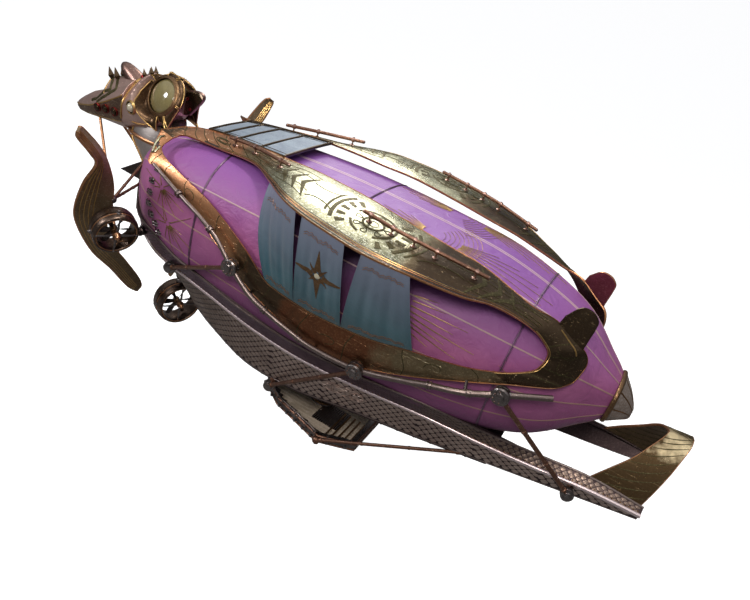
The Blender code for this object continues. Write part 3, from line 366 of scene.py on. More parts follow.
# A Principled material fed by one of the groups; bump is the depth in metres.
def coated(name, effect, inputs, bump=0.004, **fixed):
    material = bpy.data.materials.new(name)
    material.use_nodes = True
    tree = material.node_tree
    shader = tree.nodes["Principled BSDF"]
    use = add(tree, "ShaderNodeGroup")
    use.node_tree = effect
    for word, value in inputs.items():
        use.inputs[word].default_value = (*value, 1.0) if isinstance(value, tuple) else value
    tree.links.new(use.outputs["Color"], shader.inputs["Base Color"])
    tree.links.new(use.outputs["Roughness"], shader.inputs["Roughness"])
    relief = add(tree, "ShaderNodeBump", {"Height": use.outputs["Height"], "Distance": bump, "Strength": 1.0})
    tree.links.new(relief.outputs[0], shader.inputs["Normal"])
    for word, value in fixed.items():
        shader.inputs[word.replace("_", " ")].default_value = value
    return material


words = ("Base", "Tarnish", "Bright", "Speckle", "Scratch", "Rough")
metals = {
    "pale brass": ((0.44, 0.43, 0.28), (0.13, 0.125, 0.07), (0.95, 0.95, 0.78), 0.9, 0.3, 0.27),
    "brown bronze": ((0.26, 0.15, 0.075), (0.1, 0.055, 0.03), (0.55, 0.36, 0.18), 0.25, 0.6, 0.33),
    "warm copper": ((0.58, 0.27, 0.125), (0.19, 0.082, 0.048), (1.0, 0.64, 0.36), 0.25, 0.6, 0.27),
    "pink copper": ((0.3, 0.18, 0.145), (0.12, 0.065, 0.055), (0.8, 0.58, 0.5), 0.2, 0.4, 0.28),
    "dark iron": ((0.085, 0.065, 0.058), (0.03, 0.024, 0.022), (0.34, 0.28, 0.26), 0.2, 0.4, 0.27),
    "gun steel": ((0.22, 0.19, 0.18), (0.08, 0.065, 0.065), (0.6, 0.55, 0.54), 0.2, 0.3, 0.22),
    "silver pipe": ((0.26, 0.2, 0.18), (0.1, 0.07, 0.062), (0.6, 0.5, 0.46), 0.2, 0.3, 0.3),
    "scale skin": ((0.6, 0.46, 0.39), (0.29, 0.21, 0.19), (0.9, 0.76, 0.69), 0.35, 0.1, 0.3),
    "scale umber": ((0.3, 0.225, 0.185), (0.13, 0.095, 0.08), (0.66, 0.54, 0.46), 0.4, 0.1, 0.3),
    "scale plum": ((0.2, 0.115, 0.155), (0.085, 0.045, 0.065), (0.5, 0.36, 0.4), 0.4, 0.1, 0.32),
    "scale gap": ((0.085, 0.058, 0.058), (0.04, 0.028, 0.03), (0.24, 0.17, 0.16), 0.4, 0.0, 0.45),
    "gold line": ((0.6, 0.38, 0.14), (0.3, 0.16, 0.06), (0.95, 0.72, 0.35), 0.3, 0.2, 0.3),
    "groove dark": ((0.09, 0.075, 0.035), (0.035, 0.03, 0.015), (0.3, 0.26, 0.13), 0.5, 0.0, 0.5),
    "red jewel": ((0.3, 0.03, 0.03), (0.12, 0.01, 0.01), (0.6, 0.16, 0.1), 0.2, 0.0, 0.25),
    # Painted reflection of the purple envelope, used only on the starboard fin.
    "envelope reflection maroon": ((0.26, 0.085, 0.085), (0.11, 0.03, 0.035), (0.5, 0.22, 0.2), 0.3, 0.4, 0.42),
    "dark umber": ((0.095, 0.062, 0.036), (0.04, 0.026, 0.016), (0.42, 0.3, 0.17), 0.08, 0.3, 0.24),
    "red copper": ((0.22, 0.085, 0.038), (0.09, 0.036, 0.02), (0.62, 0.32, 0.16), 0.3, 0.6, 0.3),
    "olive brass": ((0.27, 0.2, 0.11), (0.1, 0.075, 0.04), (0.66, 0.54, 0.34), 0.3, 0.6, 0.27),
    # copper brown: worn copper whose near-white Bright and strong Scratch also paint highlights, the reflected
    # light on the cowl's bow.
    "copper brown": ((0.62, 0.3, 0.15), (0.12, 0.055, 0.034), (1.0, 0.76, 0.52), 0.2, 0.8, 0.22),
    "dull gold": ((0.42, 0.27, 0.11), (0.24, 0.15, 0.06), (0.8, 0.58, 0.28), 0.2, 0.1, 0.42),
    "ridge silver": ((0.95, 0.79, 0.78), (0.62, 0.46, 0.47), (1.0, 0.96, 0.95), 0.2, 0.2, 0.3),
    "polished steel": ((0.7, 0.61, 0.56), (0.3, 0.24, 0.21), (0.95, 0.9, 0.86), 0.05, 0.2, 0.26),
    "boom skin": ((0.26, 0.185, 0.145), (0.1, 0.07, 0.058), (0.6, 0.48, 0.41), 0.4, 0.1, 0.32),
    "petal bronze": ((0.105, 0.06, 0.032), (0.04, 0.025, 0.015), (0.4, 0.25, 0.14), 0.15, 0.4, 0.3),
    "slate blue": ((0.22, 0.27, 0.33), (0.1, 0.12, 0.16), (0.46, 0.52, 0.58), 0.3, 0.3, 0.45),
}
metals = {name: dict(zip(words, values)) for name, values in metals.items()}
metals["pale brass"].update({"Cloud Scale": 1.5, "Cloud": 0.8})
paint = {name: coated(name, wornMetal, values, Metallic=0.96, bump=0.004) for name, values in metals.items()}
paint["slate blue"].node_tree.nodes["Principled BSDF"].inputs["Metallic"].default_value = 0.35
# Envelope cloth: its bluer Top is painted sheen from the light above, and its darker Foot is painted shade on the
# underside.
paint["envelope"] = coated(
    "envelope", tautCloth,
    dict(
        Tone=(0.45, 0.14, 0.295), Shade=(0.34, 0.092, 0.235), Top=(0.225, 0.083, 0.345), Foot=(0.18, 0.045, 0.14)
    ),
    bump=0.05,
)


# Painted shade behind the drapes: the envelope cloth is darkened towards a near-black purple where the drapes
# shade it, mask = product of smooth steps along X, Y and Z.
def makePaintedShadeBehindDrapes(material):
    tree = material.node_tree
    shader, use = tree.nodes["Principled BSDF"], [n for n in tree.nodes if n.type == "GROUP"][0]
    where = add(tree, "ShaderNodeTexCoord").outputs["Object"]
    axes = add(tree, "ShaderNodeSeparateXYZ", {0: where}).outputs
    shadeMask = maths(tree, "MULTIPLY", ramp(tree, axes["X"], -2.9, -2.3), ramp(tree, axes["X"], 1.3, 0.9))
    shadeMask = maths(tree, "MULTIPLY", shadeMask, ramp(tree, axes["Y"], -1.8, -2.6, 0.0, 0.8))
    shadeMask = maths(tree, "MULTIPLY", shadeMask, ramp(tree, axes["Z"], -1.3, -0.6))
    # Painted shade: the near-black purple is mixed into the cloth colour by the mask.
    tree.links.new(
        mixed(tree, shadeMask, use.outputs["Color"], (0.045, 0.012, 0.055, 1.0)), shader.inputs["Base Color"])


makePaintedShadeBehindDrapes(paint["envelope"])
# Drape cloth: its lavender Top paints the purple envelope glowing through the cloth near the top (painted light);
# the cloth is darker towards the foot.
paint["drape"] = coated(
    "drape", tautCloth,
    dict(
        Tone=(0.046, 0.128, 0.158), Shade=(0.027, 0.085, 0.112), Top=(0.21, 0.215, 0.3),
        Foot=(0.014, 0.058, 0.074), Low=-0.5, High=3.7, Weave=90.0),
    bump=0.02, Sheen_Weight=0.2,
)
paint["seam"] = coated(
    "seam", tautCloth,
    dict(Tone=(0.5, 0.3, 0.24), Shade=(0.36, 0.19, 0.18), Top=(0.58, 0.42, 0.46), Foot=(0.26, 0.13, 0.13)),
    bump=0.005)
paint["hoop"] = coated(
    "hoop", wornMetal,
    dict(zip(words, ((0.19, 0.12, 0.18), (0.09, 0.055, 0.09), (0.45, 0.34, 0.42), 0.3, 0.2, 0.36))), Metallic=0.7)
paint["wood"] = coated(
    "wood", wornMetal,
    dict(zip(words, ((0.5, 0.4, 0.3), (0.22, 0.17, 0.125), (0.75, 0.64, 0.52), 0.4, 0.9, 0.6))), Metallic=0.1)
paint["stone"] = coated(
    "stone", wornMetal,
    dict(zip(words, ((0.34, 0.27, 0.23), (0.14, 0.11, 0.09), (0.62, 0.55, 0.49), 0.6, 0.4, 0.5))), Metallic=0.5)
paint["eye"] = coated(
    "eye", wornMetal,
    dict(zip(words, ((0.225, 0.185, 0.075), (0.12, 0.09, 0.035), (0.42, 0.37, 0.19), 0.2, 0.0, 0.06))),
    Metallic=0.0, Coat_Weight=1.0, Coat_Roughness=0.04, bump=0.001)
paint["lens"] = coated(
    "lens", wornMetal,
    dict(zip(words, ((0.55, 0.5, 0.36), (0.34, 0.28, 0.18), (0.75, 0.72, 0.6), 0.2, 0.0, 0.08))), Metallic=0.0,
    Coat_Weight=1.0, bump=0.001)


# Plates that change metal along one axis: each zone takes over from the one before between its two
# places, with a ragged edge.
def zoned(name, first, zones, bump=0.008, axis="X"):
    material = coated(name, wornMetal, dict(metals[first]), bump=bump, Metallic=0.9)
    tree = material.node_tree
    shader, use = tree.nodes["Principled BSDF"], [n for n in tree.nodes if n.type == "GROUP"][0]
    where = add(tree, "ShaderNodeTexCoord").outputs["Object"]
    place = add(tree, "ShaderNodeSeparateXYZ", {0: where}).outputs[axis]
    ragged = maths(tree, "ADD", place, ramp(tree, noise(tree, where, 0.8, 5, 0.6), 0.3, 0.7, -0.9, 0.9))
    colour = use.outputs["Color"]
    for metal, start, end in zones:
        other = add(tree, "ShaderNodeGroup")
        other.node_tree = wornMetal
        for word, value in metals[metal].items():
            other.inputs[word].default_value = (*value, 1.0) if isinstance(value, tuple) else value
        colour = mixed(tree, ramp(tree, ragged, start, end), colour, other.outputs["Color"])
    tree.links.new(colour, shader.inputs["Base Color"])
    return material


paint["scales"] = zoned("scales", "scale umber", [("scale skin", -5.6, -1.6)], 0.006)
paint["upper_scales"] = zoned("upper scales", "scale plum", [("boom skin", 3.4, 5.6)], 0.006)
print("materials made")


# Envelope.

envelope = {
    "rows": [
        (-11.66, 0.25), (-11.44, 0.85), (-10.98, 1.55), (-10.38, 2.2), (-9.62, 2.78), (-8.65, 3.22), (-7.2, 3.57),
        (-4.8, 3.84), (-1.7, 4.03), (1.9, 3.98), (4.8, 3.75), (7.7, 2.85), (9.4, 1.5), (9.95, 1.0),
    ],
    "flat": 0.833, "power": 2.85, "stations": 150, "around": 180,
    "seams": [2, 31, 60, 89, -22, -50], "hoops": [-6.4, -0.82, 6.25],
}
envelopeCurve = smoothRows(envelope["rows"], 10)


# Superellipse section: |cos a|^p + |sin a|^p = r^-p, P = (x, w r cos a, w f r sin a), a from starboard
# over the top.
def onEnvelope(x, degrees, lift=0.0):
    x, angle = np.broadcast_arrays(array(x, float), radians(degrees))
    half = interp(x, envelopeCurve[:, 0], envelopeCurve[:, 1])
    cosine, sine = cos(angle), sin(angle)
    reach = (np.abs(cosine) ** envelope["power"] + np.abs(sine) ** envelope["power"]) ** (-1 / envelope["power"])
    return stack([x, (half + lift) * reach * cosine, (half * envelope["flat"] + lift) * reach * sine], axis=-1)


def outwardsAt(points):
    half = interp(points[..., 0], envelopeCurve[:, 0], envelopeCurve[:, 1])
    slope = gradient(envelopeCurve[:, 1], envelopeCurve[:, 0])
    lean = interp(points[..., 0], envelopeCurve[:, 0], slope)
    wide, high = points[..., 1] / half, points[..., 2] / (half * envelope["flat"])
    power = envelope["power"] - 1
    y = np.sign(wide) * np.abs(wide) ** power
    z = np.sign(high) * np.abs(high) ** power / envelope["flat"]
    flat = np.sqrt(y**2 + z**2)
    return unit(stack([-lean * flat, y, z], axis=-1))


# Cloth sags in each bay between seams: 0.012 midway between two hoops and 0.006 at a hoop.
def makeEnvelope():
    run = concatenate([[0], np.cumsum(np.hypot(*diff(envelopeCurve, axis=0).T))])
    wanted = linspace(0, run[-1], envelope["stations"])
    x = interp(wanted, run, envelopeCurve[:, 0])
    degrees = 360 * arange(envelope["around"]) / envelope["around"]
    grid = onEnvelope(x[:, None], degrees[None])
    seams = np.sort([angle % 360 for seam in envelope["seams"] for angle in (seam, 180 - seam)])
    nearest = np.abs((degrees[:, None] - seams + 180) % 360 - 180).min(axis=1)
    bay = interp(nearest, [0, 3, 14], [0.0, 0.4, 1.0])
    hoops = np.abs(x[:, None] - array(envelope["hoops"])).min(axis=1)
    span = interp(hoops, [0, 0.25, 2.5], [0.0, 0.5, 1.0]) * interp(x, [-11.6, -10, 8.5, 9.9], [0, 1, 1, 0])
    sag = 0.012 * span[:, None] * bay[None] + 0.006 * (1 - span[:, None]) * bay[None]
    grid = grid - outwardsAt(grid) * sag[..., None]
    piece("envelope_cloth", "envelope", [skin(grid)], slot="envelope_cloth", stands=["envelope"])


def makeEnvelopeTrim():
    seams = []
    for seam in envelope["seams"]:
        for angle in {seam, 180 - seam}:
            x = linspace(-11.2, 9.93, 90)
            path = onEnvelope(x, full(90, angle), 0.002)
            seams.append(bars(path, outwardsAt(path), 0.03, 0.014, 6))
    piece("envelope_seams", "seam", seams, slot="envelope_cloth")
    hoops = []
    for x in envelope["hoops"]:
        path = onEnvelope(full(181, x), linspace(0, 360, 181), 0.004)
        hoops.append(bars(path, outwardsAt(path), 0.024, 0.024, 6))
        for step in (-0.045, 0.045):
            path = onEnvelope(full(181, x + step), linspace(0, 360, 181), 0.002)
            hoops.append(bars(path, outwardsAt(path), 0.006, 0.01, 6))
    piece("envelope_hoops", "hoop", hoops, slot="envelope_cloth")


# Ray k of a burst: P(s) = surface at x = x0 + s L cos b, angle = a0 + s L sin b / radius, tapering as 1 -
# 0.75 s.
def burst(x, degrees, rays, width):
    paths, wide = [], []
    for bearing, start, length in rays:
        steps = linspace(start, start + length, 24)
        along = x + steps * cos(radians(bearing))
        turn = degrees + np.degrees(steps * sin(radians(bearing)) / 3.6)
        paths.append(onEnvelope(along, turn, 0.006))
        wide.append(width * linspace(1.0, 0.25, 24))
    paths = array(paths)
    return bars(paths, outwardsAt(paths), array(wide), 0.01, 6)


def makeBursts():
    fan = [
        (bearing, 2.5, length)
        for bearing, length in zip((-17, -13, -10, -6.5, -3, 1, 5, 9), (1.2, 2.2, 1.6, 2.6, 1.7, 2.1, 1.2, 0.9))
    ]
    topFan = [
        (bearing, 0.35, length)
        for bearing, length in zip(linspace(-28, 20, 8), [1.2, 1.8, 2.6, 3.4, 3.7, 3.0, 2.2, 1.4])
    ]
    small = [
        (bearing, 0.12, 0.7 + 0.7 * (number % 2))
        for number, bearing in enumerate((-95, -72, -55, -42, -30, -18, -4, 40, 120, 165, 200))
    ]
    shapes = []
    shapes.append(burst(0.2, 25, fan, 0.03))
    shapes.append(burst(2.7, 70, topFan, 0.018))
    shapes.append(
        burst(1.9, 70, [(180 - bearing, start, length * 0.6) for bearing, start, length in topFan], 0.026))
    shapes.append(burst(-8.45, 17, small, 0.026))
    shapes.append(burst(-7.75, -7, small, 0.026))
    shapes.append(burst(7.0, 8, [(a, 0.1, 0.9) for a in (150, 168, 186, 204)], 0.02))
    for reach in arange(0.4, 1.9, 0.17):
        around = radians(linspace(-62, 62, 40))
        arc = onEnvelope(2.0 + reach * cos(around), 70 + np.degrees(reach * sin(around) / 3.6), 0.005)
        shapes.append(bars(arc, outwardsAt(arc), 0.008, 0.009, 6))
    piece("envelope_gold_lines", "dull gold", twice(shapes), slot="envelope_cloth")
    hooks = []
    rows = [
        (-9.19, 17.4), (-9.17, 7.1), (-9.12, -3.2), (-8.87, -10.8), (-8.53, -15.0), (-8.29, -20.4), (-9.05, 28.0)]
    for x, degrees in rows:
        path = onEnvelope(linspace(x - 0.16, x + 0.22, 12), full(12, degrees), 0.0)
        arch = 0.11 * sin(linspace(0, pi, 12))[:, None]
        for shift in (-0.055, 0.055):
            lobe = onEnvelope(linspace(x - 0.16, x + 0.22, 12), full(12, degrees + shift * 22), 0.0)
            hooks.append(bars(lobe + outwardsAt(lobe) * arch, outwardsAt(lobe), 0.026, 0.026))
        hooks.append(
            turned(
                path[6] - outwardsAt(path[6]) * 0.02, outwardsAt(path[6]),
                [(0, 0.12), (0.03, 0.12), (0.05, 0.09)], 16)
        )
    piece("envelope_hooks", "gun steel", twice(hooks))


makeEnvelope()
makeEnvelopeTrim()
makeBursts()
print("envelope made")


# Tail cap.

tailCap = {"rows": [(10.14, 0.96, 0.01), (10.5, 0.62, 0.12), (10.76, 0.32, 0.26), (10.84, 0.13, 0.31)]}


# Rings of the superellipse that shrink to the tip, each lowered by its drop.
def capRing(x, half, drop, count=72):
    angle = 2 * pi * arange(count) / count
    reach = (
        np.abs(cos(angle)) ** envelope["power"] + np.abs(sin(angle)) ** envelope["power"]
    ) ** (-1 / envelope["power"])
    return stack(
        [full(count, x), half * reach * cos(angle), half * envelope["flat"] * reach * sin(angle) - drop], axis=1)


def makeTailCap():
    body = [capRing(*row) for row in smoothRows(tailCap["rows"], 5)]
    band = [
        (9.952, 1.02, 0), (9.955, 1.075, 0), (9.98, 1.09, 0), (10.06, 1.085, 0), (10.1, 1.05, 0),
        (10.13, 0.97, 0), (10.14, 0.9, 0)]
    piece("tail_cone", "stone", [skin([capRing(10.12, 0.93, 0.0)] + body)], stands=["tail_cap"])
    piece("tail_band", "brown bronze", [skin([capRing(*row) for row in band])])
    ribs = []
    for share in range(0, 72, 9):
        path = array([ring[share] for ring in body])
        path = path + unit(path - (10.2, 0, -0.1)) * 0.004
        ribs.append(bars(path, unit(path - (10.2, 0, -0.1)), linspace(0.035, 0.012, len(path)), 0.016, 6))
    piece("tail_ribs", "brown bronze", ribs)


makeTailCap()

# Hull: strakes, scales, beads, keel.

hull = {
    "strake": [
        (-12.1, 0.07, -0.95, 0.07, -1.6, 0.07, -2.45), (-11.6, 0.55, -0.95, 0.45, -1.8, 0.07, -2.95),
        (-10.8, 1.7, -1.15, 1.3, -2.0, 0.15, -3.45), (-9.8, 2.65, -1.2, 2.1, -2.2, 0.45, -3.72),
        (-8.6, 3.15, -1.25, 2.6, -2.4, 0.9, -4.02), (-7.2, 3.42, -1.6, 2.75, -2.6, 1.4, -4.62),
        (-5.6, 3.55, -1.8, 2.75, -2.9, 1.85, -5.0), (-3.6, 3.6, -2.15, 2.72, -3.3, 2.1, -5.45),
        (-1.2, 3.45, -2.45, 2.68, -3.5, 2.16, -5.38), (1.4, 3.55, -2.25, 2.66, -3.35, 2.16, -4.88),
        (4.2, 3.5, -1.95, 2.62, -3.05, 2.14, -4.42), (6.6, 2.75, -2.25, 2.5, -2.95, 2.1, -3.98),
        (8.6, 2.0, -2.5, 2.3, -2.88, 2.0, -3.66), (10.6, 1.86, -2.36, 2.2, -2.68, 1.92, -3.32),
        (12.55, 1.86, -2.42, 2.12, -2.62, 1.88, -2.96),
    ],
    "wall": 0.14, "scale": 0.36, "clear": 0.0603, "across": 12, "ridge": 4, "long": 25.4, "tall": 3.6,
}


# Strake surface P(s, t): lip at t = 0, ridge at t = 1/3, chine at t = 1, straight between them.
def strakeGrid(steps=8):
    rows = smoothRows(hull["strake"], steps)
    lip, ridge, chine = (rows[:, [0, 1 + 2 * k, 2 + 2 * k]] for k in range(3))
    first = [lip + (ridge - lip) * share for share in linspace(0, 1, 5)[:-1]]
    second = [ridge + (chine - ridge) * share for share in linspace(0, 1, 9)]
    return stack(first + second, axis=1)


# A point and normal of a grid at a share along and across it, read between its four neighbours.
def onGrid(grid, along, across):
    rows, columns = grid.shape[:2]
    s, t = clip(along, 0, 1) * (rows - 1), clip(across, 0, 1) * (columns - 1)
    r, c = np.minimum(s.astype(int), rows - 2), np.minimum(t.astype(int), columns - 2)
    a, b = (s - r)[..., None], (t - c)[..., None]
    return (grid[r, c] * (1 - a) + grid[r + 1, c] * a) * (1 - b) + (
        grid[r, c + 1] * (1 - a) + grid[r + 1, c + 1] * a) * b


# One scale: an eight-sided lozenge smaller than its tile, its middle raised, its rear edge lifted.
def scaleShape():
    flat = [
        (0.39, 0.05), (0.1, 0.285), (-0.1, 0.285), (-0.38, 0.05), (-0.38, -0.05), (-0.1, -0.285), (0.1, -0.285),
        (0.39, -0.05)]
    rim = array([(x, y, 0.015 + 0.025 * (x > 0.3)) for x, y in flat])
    points = vstack([rim, rim * (1, 1, 0) - (0, 0, 0.08), [(0.06, 0.0, 0.09)]])
    faces = [[k, (k + 1) % 8, 16] for k in range(8)] + [
        [k, k + 8, (k + 1) % 8 + 8, (k + 1) % 8] for k in range(8)]
    return points, faces + [list(range(8, 16))], points[:, :2]


# Scales laid in the grid's own shares: P = grid(s + x ds, t + y dt) + size z normal, so the lattice bends
# with the strake.
def onLattice(shape, grid, normals, places, size):
    points, faces, uv = shape
    along = places[:, 0, None] + points[:, 0] * places[:, 2, None]
    across = places[:, 1, None] + points[:, 1] * places[:, 3, None]
    up = unit(onGrid(normals, along, across))
    copies = onGrid(grid, along, across) + up * (points[:, 2, None] * size)
    every = [[index + number * len(points) for index in face] for number in range(len(places)) for face in faces]
    return copies.reshape(-1, 3), every, np.tile(uv, (len(places), 1))


def makeHull():
    grid = strakeGrid()
    grid[:, :, 1] = maximum(grid[:, :, 1], hull["clear"])
    normals = normalsOf(grid, (0, 0, 2))
    inner = grid - normals * hull["wall"]
    inner[:, :, 1] = maximum(inner[:, :, 1], hull["clear"])
    lengths = np.linalg.norm(diff(grid.mean(axis=1), axis=0), axis=1)
    run = concatenate([[0], np.cumsum(lengths)])
    heights = np.linalg.norm(diff(grid, axis=1), axis=2).sum(axis=1)
    upper = np.linalg.norm(grid[:, 4] - grid[:, 0], axis=1)
    kinds, seam = {}, hull["ridge"] / hull["across"]
    for kind, size, low, high in (
        ("upper_scales", hull["scale"] * 0.7, 0.0, seam), ("scales", hull["scale"], seam, 1.0)):
        places = []
        for number, at in enumerate(arange(size * 0.5, run[-1] - 0.1, size * 0.5)):
            share = interp(at, run, linspace(0, 1, len(run)))
            height, above = interp(at, run, heights), interp(at, run, upper)
            span = above if kind == "upper_scales" else height - above
            count = max(int(round(span / (size * 0.9))), 1)
            steps = (arange(count + 1) + (0.5 if number % 2 else 0.0)) / count
            steps = steps[(steps * span > 0.07) & (steps * span < span - 0.07)]
            ahead = (interp(at + 0.1, run, linspace(0, 1, len(run))) - share) / 0.1 * size
            tile = (high - low) / count / 0.9
            places += [(share, low + (high - low) * step, ahead, tile) for step in steps]
        kinds[kind] = onLattice(scaleShape(), grid, normals, array(places), size)
    pair("strake_{}_body", "scale gap", [slab(grid, inner)], slot="scale_plate", stands=["strake_{}"])
    for kind, shape in kinds.items():
        pair("strake_{}_" + kind, kind, [shape], slot="scale_plate")
    ridge, lip, chine = grid[:, hull["ridge"]], grid[:, 0], grid[:, -1]
    ridgeUp, lipUp, chineUp = normals[:, hull["ridge"]], normals[:, 0], normals[:, -1]
    beads = [bars(lip, lipUp, 0.045, 0.035), bars(chine - chineUp * 0.02, chineUp, 0.05, 0.045)]
    pair("strake_{}_beads", "silver pipe", beads)
    pair("strake_{}_ridge", "ridge silver", [bars(ridge + ridgeUp * 0.01, ridgeUp, 0.085, 0.075, 12)])
    along = linspace(0.03, 0.995, 170)
    stud = turned((0, 0, -0.02), (0, 0, 1), [(0, 0.055), (0.03, 0.05), (0.06, 0.02)], 8)
    rows = []
    for drop in (0.1, -0.1):
        offset = seam + drop / maximum(heights, 0.3)
        share = interp(along, linspace(0, 1, len(offset)), offset)
        spots, up = onGrid(grid, along, share), onGrid(normals, along, share)
        rows.append(scattered(stud, spots, (1, 0, 0), up, 0.7))
    pair("strake_{}_studs", "brown bronze", rows)


def makeKeel():
    piece("stem_bar", "dark iron", [cadShape("stem")], stands=["stem"], sharp=20, bevel=0.02)
    rows = strakeGrid()[:, -1]
    rows = rows[(rows[:, 0] > -11.66) & (rows[:, 0] < 7.2)]
    shares = linspace(-1, 1, 9)
    grid = stack([stack([x + 0 * shares, shares * (y - 0.03), z - 0.1 + 0 * shares], axis=1) for x, y, z in rows])
    piece("keel_plate", "scale gap", [slab(grid, grid + (0, 0, 0.12))], slot="scale_plate", stands=["keel"])
    strips = []
    for x in arange(-7.0, 7.0, 0.7):
        y, z = interp(x, rows[:, 0], rows[:, 1]) - 0.05, interp(x, rows[:, 0], rows[:, 2]) - 0.215
        if x > -3.2 or x < -4.0:
            path = stack([full(12, x), linspace(-y, y, 12), full(12, z + 0.11)], axis=1)
            strips.append(bars(path, (0, 0, -1), 0.06, 0.03, 6))
    piece("keel_ribs", "dark iron", strips)


# Raised ornament on the strake under the ridge: two rings, each about a smaller one, with eight spokes.
def makeHullMotif():
    grid = strakeGrid()
    normals = normalsOf(grid, (0, 0, 2))
    x = grid.mean(axis=1)[:, 0]
    around, lines = linspace(0, 2 * pi, 49), []
    for centreX, radius in ((0.55, 0.34), (1.35, 0.4)):
        middle = interp(centreX, x, linspace(0, 1, len(x)))
        steps = linspace(0.2, 0.95, 10) * radius
        strokes = [(radius, around, 0.035), (radius * 0.55, around, 0.022)]
        strokes += [(steps, radians(bearing), linspace(0.03, 0.01, 10)) for bearing in range(0, 360, 45)]
        for reach, angle, wide in strokes:
            along = middle + reach * cos(angle) / hull["long"]
            across = 0.6 + reach * sin(angle) / hull["tall"]
            path, up = onGrid(grid, along, across), onGrid(normals, along, across)
            lines.append(bars(path + up * 0.02, up, wide, 0.03, 6))
    pair("strake_{}_motif", "scale skin", lines)


makeHull()
makeKeel()
makeHullMotif()
print("hull made")

# Side frames: cowl, rear turn, lower band.

sideFrame = {
    "cowl": [
        (-9.4, 2.6, 2.75, -8.8, 2.62, 2.65), (-8.8, 1.8, 3.0, -8.45, 2.3, 2.85), (
            -7.85, 1.45, 3.15, -6.85, 2.3, 2.95),
        (-5.6, 1.8, 3.5, -5.0, 2.76, 3.23), (
            -4.05, 1.85, 3.6, -3.69, 3.74, 3.34), (-2.95, 1.85, 3.65, -2.57, 4.65, 3.4),
        (-1.85, 1.9, 3.65, -1.61, 5.05, 3.36), (
            -0.45, 2.05, 3.65, -0.53, 5.26, 3.31), (1.4, 2.15, 3.5, 1.04, 5.34, 3.2),
        (
            3.05, 2.15, 3.35, 2.64, 5.06, 3.12
        ), (4.2, 2.15, 3.25, 4.26, 4.42, 2.95), (5.6, 2.3, 2.95, 5.12, 3.8, 2.86),
        (6.3, 2.35, 2.8, 5.93, 3.42, 2.68), (7.15, 2.3, 2.7, 6.7, 3.05, 2.35),
    ],
    "turn": [
        (7.9, 2.18, 2.31, 7.15, 2.9, 2.02), (
            8.43, 2.07, 2.0, 7.35, 2.88, 1.81), (8.63, 1.9, 1.52, 7.4, 2.93, 1.58),
        (
            8.53, 2.24, 1.01, 7.35, 3.08, 1.36
        ), (8.35, 2.53, 0.84, 7.2, 3.2, 1.12), (7.95, 2.95, 0.7, 6.7, 3.5, 0.9),
        (6.7, 3.5, 0.4, 6.1, 3.75, 0.7),
    ],
    "band": [
        (5.25, 3.95, -0.1, 5.05, 4.0, 0.45), (3.3, 4.15, -0.9, 3.3, 4.18, 0.15), (
            1.65, 4.12, -1.5, 2.0, 4.22, -0.15),
        (-0.05, 4.12, -1.75, 0.6, 4.25, -0.3), (
            -1.1, 4.16, -1.5, -0.75, 4.27, -0.33), (-2.4, 4.2, -1.05, -2.1, 4.25, -0.2),
        (
            -3.15, 4.2, -0.75, -2.7, 4.25, 0.0
        ), (-4.45, 4.1, -0.1, -3.8, 4.15, 0.7), (-5.95, 3.9, 0.7, -5.7, 3.8, 1.45),
        (-7.4, 3.65, 1.2, -7.45, 3.45, 1.8), (-8.65, 3.45, 1.62, -8.4, 3.25, 2.0), (
            -9.15, 3.38, 1.75, -8.95, 3.0, 2.25),
        (-9.4, 2.6, 2.75, -8.8, 2.62, 2.65),
    ],
    "crown": 0.05, "thick": 0.07, "steps": 8, "across": 11,
}
cowlRows, turnRows, lastRow = 13 * sideFrame["steps"], 20 * sideFrame["steps"], 33


# Frame surface P(s, t) = (1 - t) outer(s) + t inner(s) + 4 t (1 - t) crown width(s) lift(s).
def frameGrid():
    rows = sideFrame["cowl"] + sideFrame["turn"] + sideFrame["band"]
    table = smoothRows(rows, sideFrame["steps"])
    outer, inner = table[:, :3], table[:, 3:]
    width = np.linalg.norm(inner - outer, axis=1)
    lift = unit(cross(gradient(outer + inner, axis=0), inner - outer))
    lift *= np.sign((lift * (outer + inner) * (0, 1, 1)).sum(axis=1, keepdims=True))
    t = linspace(0, 1, sideFrame["across"])
    along = outer[:, None] * (1 - t[:, None]) + inner[:, None] * t[:, None]
    return along + lift[:, None] * (4 * t * (1 - t) * sideFrame["crown"] * width[:, None])[..., None]


def frameNormals(grid):
    normals = unit(cross(gradient(grid, axis=0), gradient(grid, axis=1)))
    flip = np.sign((normals[:, 5] * (grid[:, 5] * (0.1, 1, 1))).sum(axis=1))
    return normals * flip[:, None, None]


wholeFrame = frameGrid()
wholeNormals = frameNormals(wholeFrame)


# A line on the frame: stations in table rows (0 to 33), shares across, lifted off the face.
def onFrame(station, across, lift=0.0):
    along = array(station, float) / lastRow
    across = broadcast_to(array(across, float), along.shape)
    up = unit(onGrid(wholeNormals, along, across))
    return onGrid(wholeFrame, along, across) + up * lift, up


def frameLine(station, across, wide, high, lift=0.0, around=6):
    path, up = onFrame(station, across, lift)
    return bars(path, up, wide, high, around)


# Curve on the frame in metres about a station: station = s0 + x / metres per row, across = a0 + y / width
# there.
def frameCurve(station, across, xs, ys, wide, high=0.012, lift=0.004):
    middle = onGrid(wholeFrame, array([station / lastRow]), array([0.5]))[0]
    ahead = onGrid(wholeFrame, array([(station + 0.5) / lastRow]), array([0.5]))[0]
    perRow = max(np.linalg.norm(ahead - middle) * 2, 0.2)
    low, top = (onGrid(wholeFrame, array([station / lastRow]), array([t]))[0] for t in (0.0, 1.0))
    width = np.linalg.norm(top - low)
    return frameLine(station + array(xs) / perRow, across + array(ys) / width, wide, high, lift)


def circle(radius, low=0, high=360, count=40, squeeze=1.0):
    angle = radians(linspace(low, high, count))
    return radius * cos(angle), squeeze * radius * sin(angle)


